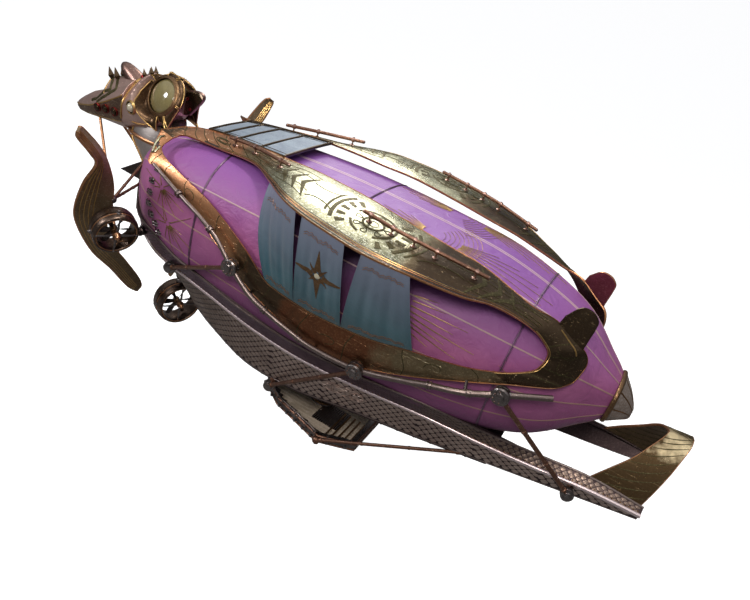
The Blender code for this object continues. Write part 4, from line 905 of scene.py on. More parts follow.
def makeFrames():
    below = wholeFrame - wholeNormals * sideFrame["thick"]
    spans = {
        "cowl": (0, cowlRows), "rear_turn": (cowlRows, turnRows), "lower_band": (turnRows, len(wholeFrame) - 1)}
    for kind, (start, end) in spans.items():
        top, under = wholeFrame[start : end + 1], below[start : end + 1]
        pair(kind + "_{}_plate", kind, [slab(top, under)], slot="bronze", stands=[kind + "_{}"], sharp=50)
    every = linspace(0, lastRow, 330)
    rims = [
        frameLine(every, 0.0, 0.016, 0.045, -0.02, 8),
        frameLine(every, 1.0, 0.02, 0.045, -0.02, 8),
        frameLine(linspace(2.0, 12.6, 150), 0.945, 0.014, 0.024),
    ]
    pair("frame_{}_rims", "warm copper", rims)
    pair("frame_{}_inlay", "gold line", [
        frameLine(linspace(2.0, 12.8, 150), 0.915, 0.012, 0.02),
        frameLine(linspace(13.0, 20.0, 100), 0.955, 0.016, 0.014),
        frameLine(linspace(13.4, 15.2, 40), linspace(0.16, 0.3, 40), 0.03, 0.02),
    ])
    pair("frame_{}_shadow_lines", "dark iron", [
        frameLine(linspace(1.6, 12.8, 150), 0.972, 0.03, 0.016),
        frameLine(linspace(1.6, 12.8, 150), 0.93, 0.024, 0.012),
        frameLine(linspace(1.6, 12.8, 150), 0.895, 0.018, 0.008),
    ])
    curl = frameLine(
        array([32.2, 32.05, 32.2, 32.55, 32.8, 32.85]), array([0.8, 0.5, 0.22, 0.12, 0.24, 0.5]), 0.045, 0.05,
        0.02)
    # Painted shade: a dark flat strip laid on the face inside the bow curl stands in for the shadow in its
    # hollow.
    slot = frameLine(array([32.35, 32.3, 32.45, 32.6]), array([0.7, 0.5, 0.35, 0.32]), 0.05, 0.014, 0.004)
    pair("frame_{}_bow_curl", "pale brass", [curl])
    pair("frame_{}_bow_curl_shade", "scale gap", [slot])
    posts = []
    for station in (22, 25, 28, 31):
        path, up = onFrame(array([station]), 0.5, -0.03)
        reach = 0.55
        down = [(0, 0.13), (0.05, 0.12), (0.06, 0.07), (reach - 0.1, 0.065), (reach - 0.02, 0.1), (reach, 0.12)]
        posts.append(turned(path[0], -up[0], down, 16))
    pair("frame_{}_posts", "dark iron", posts)
    makeEngraving()


# Chased ornament: a rosette with petals and laurel arcs in the middle, chevrons and leaf lines towards
# both ends.
def makeEngraving():
    dark, light = [], []
    for station in (
        0.9, 1.3, 1.62, 1.95, 2.3, 2.7, 3.15, 14.2, 15.4, 17.0, 18.4, 20.6, 22.0, 23.4, 24.8, 26.2, 27.6, 28.6,
        29.7, 30.6, 31.5):
        across = linspace(0.02, 0.98, 16)
        lean = 0.1 * across + 0.05 * sin(5 * across + station)
        dark.append(frameLine(station + lean, across, 0.019, 0.006, 0.002))
    for radius, wide, spans in (
        (0.36, 0.05, [(0, 360)]), (0.17, 0.014, [(0, 360)]), (0.8, 0.06, [(-160, 60), (100, 150)]),
        (1.62, 0.085, [(-40, 34), (146, 216)]), (1.95, 0.05, [(-26, 26), (158, 202)])):
        for low, high in spans:
            xs, ys = circle(radius, low, high, 60)
            dark.append(frameCurve(7.6, 0.5, xs, clip(ys, -1.5, 1.4), wide))
    for bearing in range(0, 360, 45):
        turn = radians(bearing)
        t = linspace(0, pi, 24)
        out, aside = 0.42 + 0.28 * sin(t), 0.1 * sin(2 * t)
        xs, ys = out * cos(turn) - aside * sin(turn), out * sin(turn) + aside * cos(turn)
        dark.append(frameCurve(7.6, 0.5, xs, ys, 0.018))
    for bearing in list(range(-50, 60, 20)) + list(range(140, 230, 20)):
        c, s = cos(radians(bearing)), sin(radians(bearing))
        steps = linspace(1.02, 1.4, 8)
        dark.append(frameCurve(7.6, 0.5, steps * c, steps * s, linspace(0.075, 0.13, 8)))
    for station, size in ((4.3, 0.55), (4.75, 0.65), (5.2, 0.75), (10.3, 0.85), (10.8, 0.75), (11.3, 0.65)):
        way = 1 if station > 8 else -1
        xs = way * concatenate([linspace(0.35, 0, 12), linspace(0, 0.35, 12)[1:]]) * -1
        ys = linspace(-size, size, 23)
        dark.append(frameCurve(station, 0.5, xs, ys, interp(np.abs(ys), [0, size], [0.11, 0.03])))
    for station, across, size, low, high in (
        (5.9, 0.25, 0.8, 0, 120), (6.2, 0.75, 0.7, 200, 330), (9.6, 0.25, 0.8, 40, 170),
        (9.4, 0.75, 0.8, 190, 320), (12.0, 0.5, 0.5, 60, 300), (2.2, 0.5, 0.4, 0, 330), (2.2, 0.5, 0.26, 40, 330),
        (3.3, 0.5, 0.45, 90, 330)):
        xs, ys = circle(size, low, high, 40, 0.8)
        light.append(frameCurve(station, across, xs, clip(ys, -0.9, 0.9) * 0.7, 0.024))
    for across in (0.22, 0.36, 0.64, 0.78):
        light.append(
            frameLine(linspace(3.0, 5.6, 40), across + 0.05 * sin(linspace(0, 6, 40)), 0.014, 0.012, 0.002))
        light.append(
            frameLine(linspace(9.9, 12.9, 40), across + 0.04 * sin(linspace(0, 6, 40)), 0.014, 0.012, 0.002))
    for station, size, low, high in (
        (14.5, 0.5, -70, 80), (16.2, 0.45, -60, 90), (21.5, 0.28, 0, 200), (24.0, 0.32, 30, 250),
        (27.2, 0.26, -40, 170), (29.6, 0.24, 0, 220)):
        xs, ys = circle(size, low, high, 40, 0.8)
        light.append(frameCurve(station, 0.5, xs, ys * 0.8, 0.014, 0.008))
    pair("frame_{}_grooves", "groove dark", dark)
    pair("frame_{}_chasing", "groove dark", light)


# The cowl's bow tip stays dark umber as painted shade; the copper-brown zone after it is partly painted
# highlight, through its bright scratches.
paint["cowl"] = zoned(
    "cowl plate", "dark umber",
    [
        ("copper brown", -9.2, -8.5), ("olive brass", -5.5, -4.8), ("pale brass", -4.5, -3.4),
        ("olive brass", 1.5, 2.2), ("dark umber", 2.1, 2.9)])
# Painted highlight: a near-white gold for the top of the tail loop's bend, standing in for light reflected there.
metals["painted highlight gold"] = dict(
    Cloud=0.15, Base=(0.97, 0.78, 0.46), Tarnish=(0.48, 0.35, 0.19), Bright=(1.0, 0.94, 0.74), Speckle=0.1,
    Scratch=0.3, Rough=0.22)
paint["rear_turn"] = coated("rear turn plate", wornMetal, dict(metals["dark umber"]), bump=0.008, Metallic=0.9)
paint["lower_band"] = zoned(
    "lower band plate", "warm copper",
    [
        ("brown bronze", -5.0, -4.2), ("dark umber", -3.9, -3.0), ("red copper", -1.6, -0.6),
        ("olive brass", 2.0, 2.9)])
makeFrames()
print("side frames made")


# Fins, bow deck, tail loop.

fin = {
    "rows": [
        (26.3, 0.08, -0.08, 0.34), (27, 0.16, -0.26, 0.88), (28, 0.18, -0.24, 1.1), (29, 0.16, -0.18, 1.02),
        (29.5, 0.06, -0.1, 0.76)]
}


def makeFins():
    rows = smoothRows(fin["rows"], 6)
    foot, _ = onFrame(rows[:, 0] / 2, 0.04, -0.03)
    t = linspace(0, 1, 9)[:, None]
    grid = foot[:, None] + rows[:, None, 1:] * t
    normals = normalsOf(grid)
    for word, side in sides.items():
        # Painted reflection: the starboard fin is maroon with a copper-brown rim, where the port fin and rim are
        # dark umber; one metal painted as each fin looks in its own light.
        colour = "rear_turn" if side < 0 else "envelope reflection maroon"
        piece(
            f"fin_{word}_plate", colour,
            [slab(mirrored(grid + normals * 0.03, side), mirrored(grid - normals * 0.03, side))], slot="copper",
            stands=[f"fin_{word}"])
        edge = vstack([grid[0], grid[:, -1], grid[::-1][0][::-1]])
        rim = bars(
            mirrored(edge, side), mirrored(normals.mean(axis=(0, 1)) + np.zeros_like(edge), side), 0.022, 0.045)
        piece(f"fin_{word}_rim", "dark umber" if side < 0 else "copper brown", [rim])


deck = {"rows": [(-8.1, 1.38, 3.11), (-6.6, 1.54, 3.34), (-4.35, 1.84, 3.58)]}


def makeBowDeck():
    rows = smoothRows(deck["rows"], 8)
    t = linspace(-1, 1, 25)
    grid = stack([stack([x + 0 * t, t * half, z + 0.03 * (1 - t**2)], axis=1) for x, half, z in rows])
    piece("bow_deck_sheet", "slate blue", [slab(grid, grid - (0, 0, 0.06))], slot="slate", stands=["bow_deck"])
    panels, ribs = [], []
    for start in range(0, 16, 4):
        part = grid[start : start + 5][:, 1:-1] * (1, 0.985, 1)
        trim = linspace(0.06, -0.06, 5)[:, None, None] * (1, 0, 0)
        panels.append(slab(part + trim + (0, 0, 0.022), part + trim + (0, 0, -0.01)))
        ribs.append(bars(grid[start] + (0, 0, 0.03), (0, 0, 1), 0.045, 0.045))
        for edge in (1, -2):
            ribs.append(bars(part[:, edge] + (0, 0, 0.03), (0, 0, 1), 0.012, 0.012, 6))
    ribs.append(bars(grid[-1] + (0, 0, 0.03), (0, 0, 1), 0.055, 0.055))
    for column in (0, 24):
        ribs.append(bars(grid[:, column] + (0, 0, 0.03), (0, 0, 1), 0.045, 0.05))
    piece("bow_deck_panels", "slate blue", panels, slot="slate")
    piece("bow_deck_ribs", "dark umber", ribs)


loop = {"rows": [
    (1.9, -2.46, 10.45, -2.5, 12.4), (1.6, -1.85, 10.95, -1.9, 12.6), (1.22, -1.2, 11.5, -1.2, 12.8),
    (0.8, -0.63, 11.88, -0.58, 12.95), (0.42, -0.34, 12.12, -0.24, 13.05), (0.0, -0.25, 12.25, -0.13, 13.08),
]}


# Tail loop P(s, t) = (1 - t) front(s) + t rear(s), with a flared rear edge.
def makeTailLoop():
    half = smoothRows(loop["rows"], 6)
    whole = vstack([half, half[-2::-1] * (-1, 1, 1, 1, 1)])
    t = linspace(0, 1, 15)[:, None]
    front, rear = whole[:, [2, 0, 1]], whole[:, [4, 0, 3]]
    grid = front[:, None] * (1 - t) + rear[:, None] * t
    normals = normalsOf(grid, (12.0, 0.0, -2.5))
    piece("tail_loop_plate", "loop", [slab(grid, grid - normals * 0.09)], slot="bronze", stands=["tail_loop"])
    edges = [bars(grid[:, k] - normals[:, k] * 0.045, normals[:, k], 0.022, 0.06, 8) for k in (0, -1)]
    piece("tail_loop_rims", "warm copper", edges)
    lines = []
    for first in arange(-0.05, 0.95, 0.055):
        share = linspace(0.03, 0.97, 24)
        way = 1 if first < 0.5 else -1
        along = clip(first + way * 0.1 * share**1.6 + (0.0 if way > 0 else 0.1), 0.0, 1.0)
        path, up = onGrid(grid, along, share), unit(onGrid(normals, along, share))
        lines.append(bars(path + up * 0.003, up, interp(share, [0, 0.5, 1], [0.01, 0.024, 0.006]), 0.01, 6))
        lines.append(bars(path - up * 0.093, up, 0.012, 0.01, 6))
    piece("tail_loop_lines", "groove dark", lines)


metals["loop bronze"] = dict(
    metals["brown bronze"], Base=(0.125, 0.075, 0.033), Tarnish=(0.055, 0.034, 0.016), Bright=(0.8, 0.58, 0.32),
    Speckle=0.05, Scratch=0.15, Rough=0.24)
# The tail loop's dark bronze turns to the painted-highlight gold towards the top, by height (Z).
paint["loop"] = zoned("loop", "loop bronze", [("painted highlight gold", -0.45, 0.35)], 0.003, "Z")
makeFins()
makeBowDeck()
makeTailLoop()
print("fins, deck and loop made")


# Rails, drums, struts, rods.

rail = {
    "rows": [
        (-8.7, 3.62, 1.78), (-7.1, 3.95, 1.32), (-5.75, 4.2, 0.97), (-4.8, 4.36, 0.57), (-3.95, 4.46, -0.08),
        (-3.0, 4.5, -0.73), (-2.2, 4.5, -1.03), (-1.15, 4.45, -1.32), (0.0, 4.42, -1.52), (1.8, 4.4, -1.42),
        (3.4, 4.4, -0.93), (4.4, 4.34, -0.58), (5.55, 4.18, -0.28), (6.65, 3.84, 0.12), (8.15, 3.1, 0.47),
    ],
    "radius": 0.105, "drums": (4, 9, 13), "clamps": (1, 2.5, 6, 7.6, 11, 12.2),
    "feet": (1, 5, 8, 12),
    "struts": [
        (0, "bow_strut", (-7.6, 3.05, -2.42), (-7.6, 2.65, -2.56)),
        (1, "deck_strut", (-2.25, 2.25, -5.8), (-2.22, 2.08, -5.5)),
        (2, "boom_strut", (10.1, 2.42, -3.1), (10.1, 2.0, -3.02))],
}
ballProfile = [(0.17 * sin(a), 0.17 * cos(a)) for a in linspace(-1.45, 1.45, 12)]


# A rod with collars: radius as a profile along it, ends wrapped by sleeves, a ball where asked.
def rodShape(start, end, radius, ball=0.0, around=16):
    start, end = array(start, float), array(end, float)
    length = np.linalg.norm(end - start)
    profile = [
        (0, radius * 1.35), (0.18, radius * 1.35), (0.2, radius), (length - 0.3, radius),
        (length - 0.28, radius * 1.3), (length - 0.12, radius * 1.3), (length, radius)]
    shapes = [turned(start, end - start, profile, around)]
    for share in (0.33, 0.66):
        shapes.append(
            turned(
                start + (end - start) * share, end - start,
                [(0, radius * 1.02), (0.01, radius * 1.18), (0.07, radius * 1.18), (0.08, radius * 1.02)], around)
        )
    if ball:
        shapes.append(turned(end, end - start, [(d * ball / 0.17, r * ball / 0.17) for d, r in ballProfile], 24))
        for step in (-0.035, 0.035):
            shapes.append(
                hoopOf(
                    end + unit(end - start) * step, end - start,
                    [(-0.02, ball * 0.97), (0.02, ball * 0.97), (0.015, ball * 1.07), (-0.015, ball * 1.07)], 24)
            )
    return shapes


def makeRails():
    path = smoothRows(rail["rows"], 8)
    envelopeOut = outwardsAt(path)
    slim = interp(path[:, 0], [-8.7, -4.0, 4.0, 8.2], [0.62, 0.95, 1.05, 1.05])
    pipe = [bars(path, envelopeOut, rail["radius"] * slim, rail["radius"] * slim, 14)]
    for row in rail["clamps"]:
        at = int(row * 8)
        middle, way = path[at], path[at + 1] - path[at - 1]
        pipe.append(
            turned(
                middle - unit(way) * 0.09, way,
                [
                    (0, 0.1), (0.005, 0.145), (0.05, 0.155), (0.055, 0.125), (0.125, 0.125), (0.13, 0.155),
                    (0.175, 0.145), (0.18, 0.1)],
                18)
        )
    pair("rail_{}_pipe", "silver pipe", pipe, slot="dark_bronze", stands=["rail_{}"])
    drums, feet, discs = [], [], []
    for row in rail["drums"]:
        at = row * 8
        out = outwardsAt(path[at][None])[0] * (0, 1, 1)
        middle = path[at]
        drum = [
            (-0.12, 0.2), (-0.11, 0.31), (-0.03, 0.32), (-0.02, 0.28), (0.05, 0.28), (0.06, 0.325), (0.18, 0.33),
            (0.22, 0.29), (0.23, 0.16), (0.28, 0.14), (0.29, 0.07)]
        drums.append(turned(middle, out, drum, 28))
        way = unit(path[at + 1] - path[at - 1])
        for step in (-0.3, 0.18):
            drums.append(
                turned(middle + way * step, way, [(0, 0.1), (0.01, 0.16), (0.11, 0.16), (0.12, 0.1)], 18))
        around = linspace(0, 2 * pi, 9)[:-1]
        aside, upward = way, cross(unit(out), way)
        bolts = middle + unit(out) * 0.22 + 0.22 * (cos(around)[:, None] * aside + sin(around)[:, None] * upward)
        discs.append(
            scattered(
                turned((0, 0, 0), (0, 0, 1), [(0, 0.026), (0.025, 0.026), (0.035, 0.015)], 8), bolts, (1, 0, 0),
                out, 1.0)
        )
    for row in rail["feet"]:
        foot = wholeFrame[np.linalg.norm(wholeFrame[:, 0] - path[row * 8], axis=1).argmin(), 1] + (0, -0.05, 0)
        feet.append(
            turned(
                path[row * 8], foot - path[row * 8],
                [(0, 0.06), (0.05, 0.06), (np.linalg.norm(foot - path[row * 8]), 0.05)], 12)
        )
    pair("rail_{}_drums", "gun steel", drums)
    pair("rail_{}_bolts", "pink copper", discs)
    pair("rail_{}_feet", "dark iron", feet)
    for drum, name, ball, root in rail["struts"]:
        at = rail["drums"][drum] * 8
        out = unit(outwardsAt(path[at][None])[0] * (0, 1, 1))
        start = path[at] + out * 0.16
        shapes = rodShape(start, ball, 0.086, 0.17)
        shapes.append(
            turned(
                ball, array(root) - ball,
                [(0, 0.08), (0.2, 0.08), (0.22, 0.12), (np.linalg.norm(array(root) - ball), 0.14)], 18)
        )
        pair(name + "_{}_rod", "strut", shapes, slot="bronze", stands=[name + "_{}"])
        hub = [
            (-0.15, 0.13), (-0.14, 0.24), (-0.05, 0.25), (-0.04, 0.21), (0.04, 0.21), (0.05, 0.25), (0.12, 0.24),
            (0.14, 0.15), (0.19, 0.13), (0.21, 0.06)]
        pair(name + "_{}_lugs", "gun steel", [turned(ball, (0.25, 1, 0.1), hub, 24)])


def makeLongRods():
    shapes = rodShape((6.1, 2.05, -4.08), (0.62, 2.62, -6.74), 0.072, 0.17)
    pair("long_rod_{}_bar", "strut", shapes, slot="bronze", stands=["long_rod_{}"])


# Handrails on the cowls: a bar over posts, with clamps and ball ends.
def makeHandrails():
    for kind, stations in (("bow_rail", (5, 6, 8)), ("panel_rail", (15, 16, 17, 18, 20))):
        rows, _ = onFrame(array(stations) / 2, 0.5, 0.0)
        tops = rows + (0, 0, 0.24)
        first, last = tops[0] * 2 - tops[1], tops[-1] * 2 - tops[-2]
        path = smoothRows(array([tops[0] * 0.7 + first * 0.3, *tops, tops[-1] * 0.7 + last * 0.3]), 6)
        shapes = [bars(path, (0, 0, 1), 0.07, 0.07, 12)]
        clamps = []
        for row, top in zip(rows, tops):
            shapes.append(turned(top, row - top, [(0, 0.03), (0.16, 0.03), (0.2, 0.05), (0.27, 0.09)], 12))
            way = tops[-1] - tops[0]
            clamps.append(
                turned(top - unit(way) * 0.06, way, [(0, 0.065), (0.005, 0.1), (0.115, 0.1), (0.12, 0.065)], 12))
            clamps.append(turned(top + (0, 0, 0.05), (0, 0, 1), [(0, 0.04), (0.05, 0.04), (0.07, 0.02)], 10))
            clamps.append(turned(row, (0, 0, 1), [(-0.02, 0.11), (0.02, 0.11), (0.035, 0.08)], 12))
        for end in (0, -1):
            clamps.append(
                turned(
                    path[end] - (0.06, 0, 0), (1, 0, 0),
                    [(0, 0.02), (0.02, 0.06), (0.06, 0.075), (0.1, 0.06), (0.12, 0.02)], 14)
            )
        pair(kind + "_{}_bar", "strut", shapes, slot="dark_bronze", stands=[kind + "_{}"])
        pair(kind + "_{}_clamps", "pink copper", clamps)


paint["strut"] = coated(
    "strut", wornMetal,
    dict(
        metals["warm copper"], Base=(0.2, 0.098, 0.062), Tarnish=(0.08, 0.038, 0.028), Bright=(0.62, 0.38, 0.26),
        Rough=0.36),
    bump=0.004, Metallic=0.85)
makeRails()
makeLongRods()
makeHandrails()
print("rails and rods made")

# Figurehead.

head = {
    "snout": [
        (-16.15, 0.2, 0.92, 1.2), (-15.8, 0.4, 0.82, 1.5), (-15.2, 0.6, 0.85, 1.95), (-14.6, 0.76, 0.95, 2.25),
        (-14.2, 0.84, 1.0, 2.95), (-13.2, 1.0, 1.1, 3.2), (-12.9, 1.04, 1.15, 3.3),
    ],
    "skull": [
        (
            -12.8997, 1.04, 1.15, 3.3
        ), (-12.6, 1.1, 1.22, 3.62), (-12.0, 1.14, 1.42, 3.92), (-11.3, 1.04, 1.75, 3.98),
        (-10.8, 0.84, 2.15, 3.74), (-10.45, 0.52, 2.6, 3.38),
    ],
    "taper": 0.62, "eye": (-11.21, 0.4, 3.16), "axis": (-0.22, 0.9, 0.36),
}


# Head section: superellipse of power 2.6, its width less taper clip(r sin a)^1.5 towards the crown.
def headRing(x, half, low, high, count=64, inset=0.0):
    angle = 2 * pi * (arange(count) + 0.5) / count
    reach = (np.abs(cos(angle)) ** 2.6 + np.abs(sin(angle)) ** 2.6) ** (-1 / 2.6)
    tall = (high - low) / 2
    wide = half * (1 - head["taper"] * clip(reach * sin(angle), 0, 1) ** 1.5)
    return stack(
        [
            full(count, x), (wide - inset) * reach * cos(angle),
            (low + high) / 2 + (tall - inset) * reach * sin(angle)],
        axis=1)


# Points on the head at x and degrees, 0 at the starboard cheek and 90 at the crown.
def onHead(x, degrees, lift=0.0):
    rows = array(head["snout"] + head["skull"][1:])
    x = array(x, float)
    angle = radians(broadcast_to(array(degrees, float), x.shape))
    half, low, high = (interp(x, rows[:, 0], rows[:, k]) for k in (1, 2, 3))
    reach = (np.abs(cos(angle)) ** 2.6 + np.abs(sin(angle)) ** 2.6) ** (-1 / 2.6)
    wide = half * (1 - head["taper"] * clip(reach * sin(angle), 0, 1) ** 1.5)
    points = stack(
        [x, wide * reach * cos(angle), (low + high) / 2 + (high - low) / 2 * reach * sin(angle)], axis=-1)
    up = unit(points - stack([x, 0 * x, (low + high) / 2], axis=-1))
    return points + up * lift, up


def headLine(xs, degrees, wide, high, lift=0.0):
    steps = linspace(0, 1, 24)
    knots = linspace(0, 1, len(xs))
    path, up = onHead(interp(steps, knots, xs), interp(steps, knots, degrees), lift)
    return bars(path, up, wide, high)


# Snout section: a faceted outline from the top middle (t = 0) over the shoulder (2), ridge (3) and jaw
# (5) to the chin (7).
snoutRidge = [(-16.15, 1.06), (-15.8, 1.12), (-15.0, 1.4), (-14.0, 1.95), (-13.2, 2.46), (-12.8, 2.75)]


def snoutHalf(x):
    rows = array(head["snout"])
    half, low, high = (interp(x, rows[:, 0], rows[:, k]) for k in (1, 2, 3))
    ridge = interp(x, *array(snoutRidge).T)
    y = stack([0 * x, 0.38 * half, 0.74 * half, half, 0.97 * half, 0.84 * half, 0.48 * half, 0 * x], axis=-1)
    z = stack(
        [
            high, high - 0.01, ridge + 0.62 * (high - ridge), ridge, ridge - 0.1, low + 0.22 * (ridge - low), low,
            low],
        axis=-1)
    return stack([broadcast_to(x[..., None], y.shape), y, z], axis=-1)


def onSnout(xs, t, lift=0.0):
    steps = linspace(0, 1, 30)
    x, t = (interp(steps, linspace(0, 1, len(values)), values) for values in (xs, t))
    rows = snoutHalf(x)
    low = np.minimum(t.astype(int), 6)
    pick = arange(len(x))
    path = rows[pick, low] * (1 - (t - low)[:, None]) + rows[pick, low + 1] * (t - low)[:, None]
    along = unit(gradient(path, axis=0))
    out = cross(rows[pick, low + 1] - rows[pick, low], (-1.0, 0, 0))
    out *= np.sign((out * (path - (0, 0, 1.6)) * (0, 1, 1)).sum(axis=1, keepdims=True))
    out = unit(out - along * (out * along).sum(axis=1, keepdims=True))
    return path + out * lift, out


def snoutLine(xs, t, wide, high, lift=0.0):
    path, out = onSnout(xs, t, lift)
    return bars(path, out, wide, high)


def makeHead():
    xs = concatenate([linspace(-16.15, -14.6, 9), linspace(-14.5, -14.2, 5), linspace(-14.1, -12.9, 7)])
    half = snoutHalf(xs)
    rings = concatenate([half, mirrored(half[:, -2:0:-1], -1)], axis=1)
    piece("snout_plate", "snout", [skin(rings)], slot="copper", stands=["snout"], sharp=14, bevel=0.025)
    # Painted shade: a plate in a darker copy of the snout's copper covers the side from ridge to jaw, so the side
    # plane reads darker than the top.
    t = linspace(3.02, 4.98, 12)
    face = stack([onSnout((-16.0, -12.93), (share, share), 0.012)[0] for share in t], axis=1)
    back = stack([onSnout((-16.0, -12.93), (share, share), -0.02)[0] for share in t], axis=1)
    pair("jaw_{}_plate", "jaw", [slab(face, back)])
    rows = smoothRows(head["skull"], 14)
    skull = array([headRing(*row, count=180, inset=0.02) for row in rows])
    for side in sides.values():
        forward = unit(mirrored(head["axis"], side))
        offset = skull - mirrored(head["eye"], side)
        deep = offset @ forward
        reach = np.linalg.norm(offset - deep[..., None] * forward, axis=-1)
        press = maximum(deep + 0.13, 0) * interp(reach, [1.08, 1.26], [1, 0])
        skull = skull - forward * press[..., None]
    head["cloud"] = skull.reshape(-1, 3)
    piece("skull_plate", "snout", [skin(skull)], slot="copper", stands=["skull"], sharp=30)
    gold, grooves, dark, rimmed, lenses = [], [], [], [], []
    gold += [
        snoutLine((-16.12, -15.0, -13.9, -12.95), (3, 3, 3, 3), 0.035, 0.035),
        snoutLine((-16.12, -15.0, -13.9, -12.95), (5.05, 5, 5, 5), 0.022, 0.022),
        snoutLine((-14.22, -14.22, -14.22), (0.2, 1.0, 2.4), 0.04, 0.03),
        headLine((-12.88, -12.88, -12.88), (-30, 20, 60), 0.035, 0.035),
        headLine((-12.3, -12.0, -11.6), (-38, -44, -46), 0.03, 0.03),
    ]
    grooves += [
        snoutLine((-14.98, -14.42, -13.86, -14.02, -14.22), (2.45, 2.35, 2.2, 1.5, 0.7), 0.075, 0.014, 0.004),
        snoutLine((-14.52, -14.02, -13.5, -13.78, -14.12), (2.85, 2.6, 2.2, 1.3, 0.05), 0.075, 0.014, 0.004),
    ]
    for x, t in ((-14.4, 4.15), (-13.88, 4.35), (-13.34, 4.55)):
        path, out = onSnout((x, x + 0.01), (t, t))
        spot, up = path[0], out[0]
        dark.append(turned(spot, up, [(-0.02, 0.19), (0.035, 0.19), (0.06, 0.16), (0.05, 0.13)], 28))
        rimmed.append(
            hoopOf(spot + up * 0.04, up, [(-0.02, 0.175), (0.035, 0.178), (0.035, 0.192), (-0.02, 0.2)], 28))
        dark.append(turned(spot, up, [(0.03, 0.13), (0.1, 0.115), (0.14, 0.05)], 20))
    spot, up = onHead(array([-12.3]), -8)
    spot, up = spot[0], unit(up[0] + (-0.25, 0, 0))
    dark.append(turned(spot - up * 0.1, up, [(0, 0.26), (0.11, 0.26), (0.13, 0.24)], 32))
    lenses.append(turned(spot - up * 0.04, up, [(0, 0.19), (0.1, 0.185), (0.17, 0.13), (0.2, 0.05)], 28))
    gold.append(hoopOf(spot + up * 0.02, up, [(-0.05, 0.25), (0.04, 0.25), (0.04, 0.28), (-0.05, 0.31)], 36))
    spot, up = onHead(array([-12.75]), 72)
    rimmed.append(turned(spot[0], up[0], [(-0.02, 0.09), (0.06, 0.08), (0.11, 0.03)], 20))
    piece("head_gold_edges", "gold line", twice(gold))
    piece("head_grooves", "groove dark", twice(grooves))
    piece("head_studs", "dark umber", twice(dark))
    piece("head_gems", "red jewel", twice(rimmed))
    piece("head_lenses", "lens", twice(lenses))
    makeEyes()
    makeHornsAndCrest()
    makeNeck()


def eyeAxes(side):
    forward = unit(mirrored(head["axis"], side))
    upward = unit(array([0, 0, 1.0]) - forward * forward[2])
    aside = cross(upward, forward) * side
    return forward, aside, upward


# Petal plate about the eye, 0 degrees towards the bow and 90 up: r(a, s) = inner + (reach(a) - inner) s,
# reach(a) = outer + (tip - outer) a^2.5, laid 0.05 over the highest skull point within 0.11.
def petal(side, start, end, inner, outer, tip, count=24):
    forward, aside, upward = eyeAxes(side)
    a = radians(linspace(start, end, count))
    t = linspace(0, 1, count)
    reach = outer + (tip - outer) * t**2.5
    shares = linspace(0, 1, 6)
    radius = inner + (reach[:, None] - inner) * shares
    around = (cos(a)[:, None] * aside + sin(a)[:, None] * upward)[:, None]
    near = head["cloud"] - mirrored(head["eye"], side)
    gap = np.linalg.norm(
        (near[None, None] - around[:, :, None] * radius[..., None, None]) @ stack([aside, upward], axis=1), axis=3
    )
    under = np.where(gap < 0.11, near @ forward, -9).max(axis=2)
    height = maximum(0.13 - 0.16 * shares**2 + 0 * t[:, None], under + 0.05)
    for turn in range(3):
        height[1:-1] = (height[:-2] + height[1:-1] * 2 + height[2:]) / 4
    grid = mirrored(head["eye"], side) + forward * height[..., None] + around * radius[..., None]
    edge = vstack([grid[0, 1:], grid[1:, -1], grid[-1, ::-1]])
    return slab(grid, grid - forward * 0.09), bars(edge, forward, 0.02, 0.03, 6)


def makeEyes():
    for word, side in sides.items():
        centre, forward = mirrored(head["eye"], side), unit(mirrored(head["axis"], side))
        dome = [(-0.1, 0.765)] + [(0.02 + 0.36 * sin(a), 0.765 * cos(a)) for a in linspace(0, 1.5, 12)]
        ringSection = [
            (-0.1, 0.767), (0.12, 0.767), (0.2, 0.745), (0.235, 0.74), (0.25, 0.755), (0.21, 0.81), (0.19, 0.85),
            (0.12, 0.89), (0.02, 0.9), (-0.1, 0.88)]
        piece(
            f"eye_{word}_glass", "eye", [turned(centre, forward, dome, 64)], slot="eye_glass",
            stands=[f"eye_{word}"], sharp=60)
        piece(
            f"eye_{word}_rim", "brown bronze", [hoopOf(centre, forward, ringSection, 64)], slot="bronze",
            stands=[f"eye_ring_{word}"], sharp=50)
        lines = [
            hoopOf(
                centre, forward,
                [
                    (0.2, r - 0.012), (0.225 - (r - 0.65) * 0.35, r - 0.01),
                    (0.225 - (r - 0.65) * 0.35, r + 0.01), (0.16, r + 0.012)],
                64)
            for r in (0.755, 0.845)
        ]
        made = [
            petal(side, *row)
            for row in (
                (18, -104, 0.88, 1.08, 1.46), (-107, -127, 0.88, 1.06, 1.54), (-172, -130, 0.88, 1.0, 1.34),
                (-176, -250, 0.88, 1.02, 0.99), (104, 72, 0.88, 1.0, 1.1), (68, 26, 0.88, 1.0, 1.16))
        ]
        piece(f"eye_{word}_petals", "petal bronze", [plate for plate, _ in made], sharp=30, bevel=0.01)
        piece(f"eye_{word}_lines", "gold line", lines + [edge for _, edge in made])


